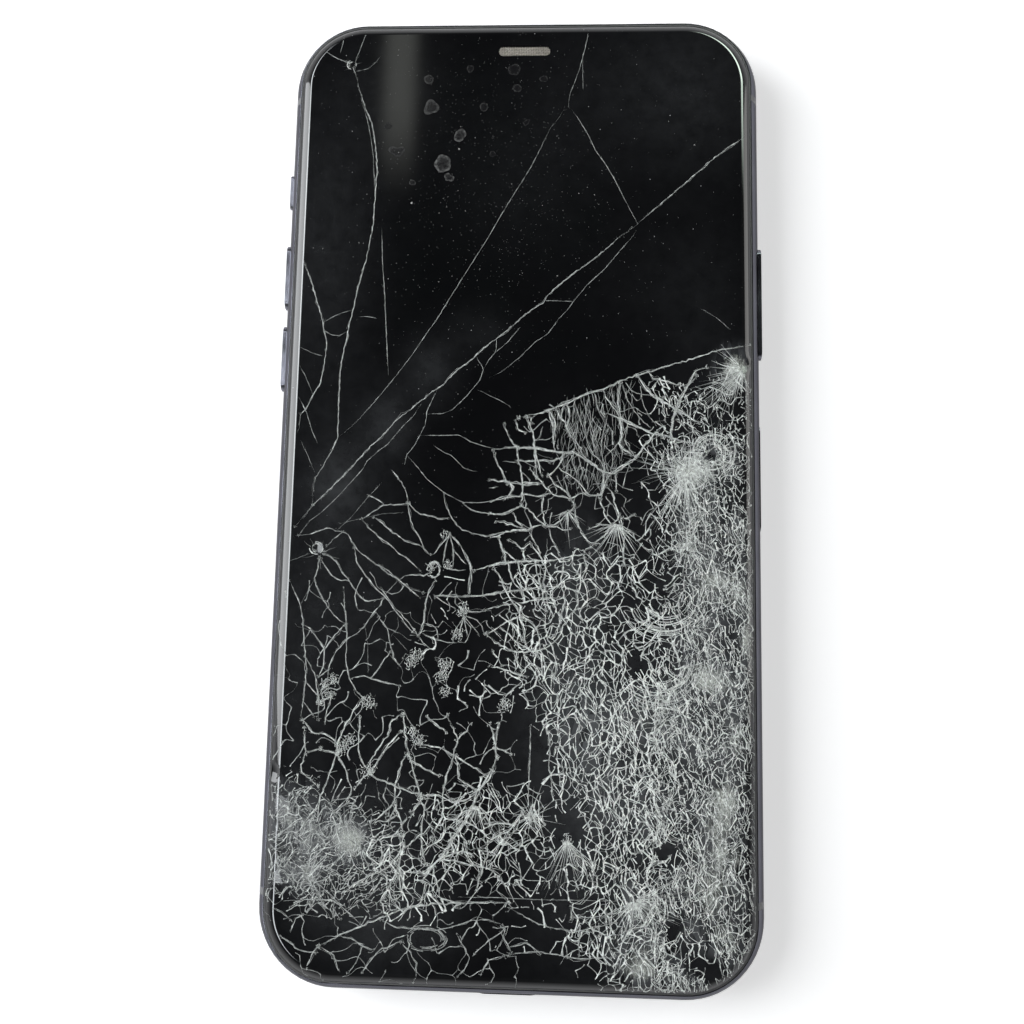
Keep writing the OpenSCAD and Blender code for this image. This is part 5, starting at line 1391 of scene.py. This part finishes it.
def mark_mesh(name, x, y, radius, tone, rim, sides, thick, ragged=0.16):
    """Low closed domes of the given radii whose edge wanders, pale by tone in the middle and by
    rim at the edge: a top point, three rings that fall away, and a point under them."""
    count = len(x)
    around = np.linspace(0, 2 * np.pi, sides, endpoint=False)
    edge = np.ones((count, sides))
    for wave in (2, 3, 5):
        edge += ragged * chance.normal(0, 1, (count, 1)) / wave \
            * np.cos(wave * around + chance.uniform(0, 6.3, (count, 1)))
    ring = np.array([0] + [1] * sides + [2] * sides + [3] * sides + [4])
    spoke = np.concatenate([[0], np.tile(np.arange(sides), 3), [0]])
    out = np.array([0.0, 0.55, 0.85, 1.0, 0.0])[ring] * edge[:, spoke] * radius[:, None]
    spot_x = x[:, None] + out * np.cos(around[spoke])
    spot_y = y[:, None] + out * np.sin(around[spoke])
    height = face_height(spot_x, spot_y) + thick * np.array([1.0, 0.9, 0.6, -0.3, -0.3])[ring]
    points = np.stack([spot_x, spot_y, height], axis=-1)
    value = tone[:, None] + (rim - tone)[:, None] * np.array([0.0, 0.15, 1.0, 0.7, 0.0])[ring]
    here = np.arange(sides)
    after = (here + 1) % sides
    last = 3 * sides + 1
    top = np.stack([0 * here, 1 + here, 1 + after], axis=1)
    base = np.stack([0 * here + last, last - sides + after, last - sides + here], axis=1)
    bands = 1 + quads(3, sides, closed=True)[:, ::-1]
    first = np.arange(count)[:, None, None] * (last + 1)
    faces = [(bands + first).reshape(-1, 4), (np.concatenate([top, base]) + first).reshape(-1, 3)]
    piece = new_mesh(name, points.reshape(-1, 3), faces, lime, 60)
    give(piece, "tone", value.ravel())
    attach(piece, "phone")


drops = np.array([
    (-19, 50, 1.0, 0.05), (-12, 48, 1.4, 0.12), (-9.5, 52.5, 1.0, 0.12), (-6, 57, 0.7, 0.04),
    (-14, 57, 1.2, 0.08), (-14.5, 61.5, 0.8, 0.05), (-1, 60, 0.7, 0.04), (3, 61.5, 0.6, 0.04),
    (-1.5, 63, 1.0, 0.03), (-11, 45.8, 0.7, 0.1), (-16.5, 45, 0.5, 0.05), (-20.5, 54, 0.6, 0.03),
    (-4.5, 49.5, 0.5, 0.03), (0.5, 54.5, 0.5, 0.03), (-8.2, 63.2, 0.6, 0.03), (6, 50, 0.4, 0.02)])
mark_mesh("dried_drops", drops[:, 0], drops[:, 1], drops[:, 2], 0.15 * drops[:, 3],
          1.1 * drops[:, 3], 28, 0.006, 0.3)
count = 1500
speck_x = np.concatenate([chance.normal(-4, 10, count), chance.uniform(-33, 33, count // 2)])
speck_y = np.concatenate([chance.normal(44, 17, count), chance.uniform(-30, 70, count // 2)])
free = (inset(speck_x, speck_y) > 0.3) & (speck_y > -20)
free &= ~(below_front(speck_x, speck_y) & (speck_x > 0))
speck_x, speck_y = speck_x[free], speck_y[free]
speck_r = 0.03 + 0.05 * chance.uniform(0, 1, len(speck_x)) ** 4
speck_tone = 0.08 + 0.5 * chance.uniform(0, 1, len(speck_x)) ** 3
mark_mesh("dust_specks", speck_x, speck_y, speck_r, speck_tone, speck_tone, 6, 0.02)
chips = np.array([(-16.5, 41.8, 0.16), (25.7, 50.8, 0.12), (-9.6, 50.3, 0.14), (5.5, 30.5, 0.09)])
mark_mesh("loose_chips", chips[:, 0], chips[:, 1], chips[:, 2], np.full(4, 0.8),
          np.full(4, 0.9), 10, 0.06)

# ---- Earpiece mesh
# Fine steel cloth over the sound slot, woven of round wires that pass over and under each
# other, on the stamped backing that holds it.
paint(["earpiece_mesh"], finish("mesh_backing", (0.09, 0.075, 0.06), (0.2, 0.17, 0.14), 0.4,
                                (0.4, 0.7), 0.6, 0.02))
mesh_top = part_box("earpiece_mesh")[1][2] / MM
pitch = 0.26
wire_r = 0.07


def wires(across, along_low, along_high, upright, phase):
    """Round wires side by side: the height of each swings as a sine with a period of two
    pitches, half a period apart from its neighbours."""
    steps = 60
    share = np.linspace(0, 1, steps)
    run = along_low[:, None] + (along_high - along_low)[:, None] * share
    row = np.arange(len(across))[:, None]
    swing = 0.6 * wire_r * np.cos(np.pi * (run / pitch + row + phase))
    around = np.linspace(0, 2 * np.pi, 6, endpoint=False)
    side = across[:, None, None] + wire_r * np.cos(around)
    height = mesh_top + 1.2 * wire_r + swing[..., None] + wire_r * np.sin(around)
    side, height, run = np.broadcast_arrays(side, height, run[..., None])
    points = np.stack([side, run, height] if upright else [run, side, height], axis=-1)
    one = quads(steps, 6, closed=True)
    if upright:
        one = one[:, ::-1]
    caps = np.stack([np.arange(6)[::-1], np.arange(6) + (steps - 1) * 6])
    if upright:
        caps = caps[:, ::-1]
    first = (np.arange(len(across)) * steps * 6)[:, None, None]
    return points.reshape(-1, 3), (one[None] + first).reshape(-1, 4), (caps + first).reshape(-1, 6)


reach_x = slot_w / 2 - 0.1
upright_x = np.arange(-reach_x + pitch / 2, reach_x, pitch)
past = np.maximum(np.abs(upright_x) - (slot_w - slot_h) / 2, 0)
rise = np.sqrt(np.maximum((slot_h / 2) ** 2 - past ** 2, 0.01)) - 0.09
level_y = slot_y + np.arange(-0.52, 0.53, pitch)
reach = (slot_w - slot_h) / 2 + np.sqrt((slot_h / 2) ** 2 - (level_y - slot_y) ** 2) - 0.09
woven = [wires(upright_x, slot_y - rise, slot_y + rise, True, 0),
         wires(level_y, -reach, reach, False, 1)]
count = len(woven[0][0])
cloth = new_mesh("earpiece_cloth", np.concatenate([woven[0][0], woven[1][0]]),
                 [woven[0][1], woven[1][1] + count, woven[0][2], woven[1][2] + count],
                 finish("woven_steel", (0.16, 0.14, 0.12), (0.5, 0.46, 0.42), 0.5, (0.3, 0.55),
                        1.0, 0.01), 50)
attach(cloth, "phone")

# ---- Reflected cards
# Soft bands of light that only glossy surfaces mirror: the window's upper part and a wall on the
# left, and pale green strips on the right and past the far right corner.


def card(name, centre, size, height, turn, colour, strength, firm=0.4):
    """A level sheet of a half width and half length, turned by so many degrees, whose light
    fades to nothing at its rim, seen by reflections alone."""
    material, shader, add, link = new_material(name)
    place = add("ShaderNodeTexCoord").outputs["Object"]
    middle = Vector((*centre, height)) * MM
    moved = add("ShaderNodeVectorMath", {0: place, 1: middle}, operation="SUBTRACT").outputs[0]
    turned = add("ShaderNodeVectorRotate", {"Vector": moved, "Angle": -math.radians(turn)},
                 rotation_type="Z_AXIS").outputs[0]
    scaled = add("ShaderNodeVectorMath", {0: turned, 1: (size[0] * MM, size[1] * MM, 1)},
                 operation="DIVIDE").outputs[0]
    apart = add("ShaderNodeSeparateXYZ", {0: scaled})
    fades = []
    for axis in ("X", "Y"):
        away = add("ShaderNodeMath", {0: apart.outputs[axis]}, operation="ABSOLUTE").outputs[0]
        fades.append(add("ShaderNodeMapRange", {"Value": away, "From Min": firm, "From Max": 1.0,
                                                "To Min": 1.0, "To Max": 0.0},
                         interpolation_type="SMOOTHSTEP").outputs[0])
    fade = add("ShaderNodeMath", {0: fades[0], 1: fades[1]}, operation="MULTIPLY").outputs[0]
    glow = add("ShaderNodeMath", {0: fade, 1: strength}, operation="MULTIPLY").outputs[0]
    shader.inputs["Base Color"].default_value = (0, 0, 0, 1)
    shader.inputs["Specular IOR Level"].default_value = 0
    shader.inputs["Emission Color"].default_value = (*colour, 1)
    link(glow, shader.inputs["Emission Strength"])
    clear = add("ShaderNodeBsdfTransparent")
    blend = add("ShaderNodeAddShader", {0: clear.outputs[0], 1: shader.outputs[0]})
    output = next(node for node in material.node_tree.nodes if node.type == "OUTPUT_MATERIAL")
    link(blend.outputs[0], output.inputs["Surface"])
    cos, sin = math.cos(math.radians(turn)), math.sin(math.radians(turn))
    corners = [(centre[0] + across * size[0] * cos - along * size[1] * sin,
                centre[1] + across * size[0] * sin + along * size[1] * cos, height)
               for across, along in ((-1, -1), (-1, 1), (1, 1), (1, -1))]
    sheet = new_mesh(name, corners, [np.array([[0, 1, 2, 3]])], material)
    for ray in ("camera", "diffuse", "transmission", "volume_scatter", "shadow"):
        setattr(sheet, "visible_" + ray, False)


card("window_glow", (-345, 110), (115, 450), 600, 0, (0.92, 0.97, 1.0), 9, 0.93)
card("far_wall", (-119.5, 410), (17, 115), 600, 0, (0.97, 1.0, 0.93), 1.2, 0.3)
card("green_strip", (290, 425), (40, 95), 420, 0, (0.9, 1.0, 0.92), 2.2)
card("corner_strip", (300, 520), (160, 260), 420, 10.7, (0.85, 1.0, 0.88), 13, 0.5)
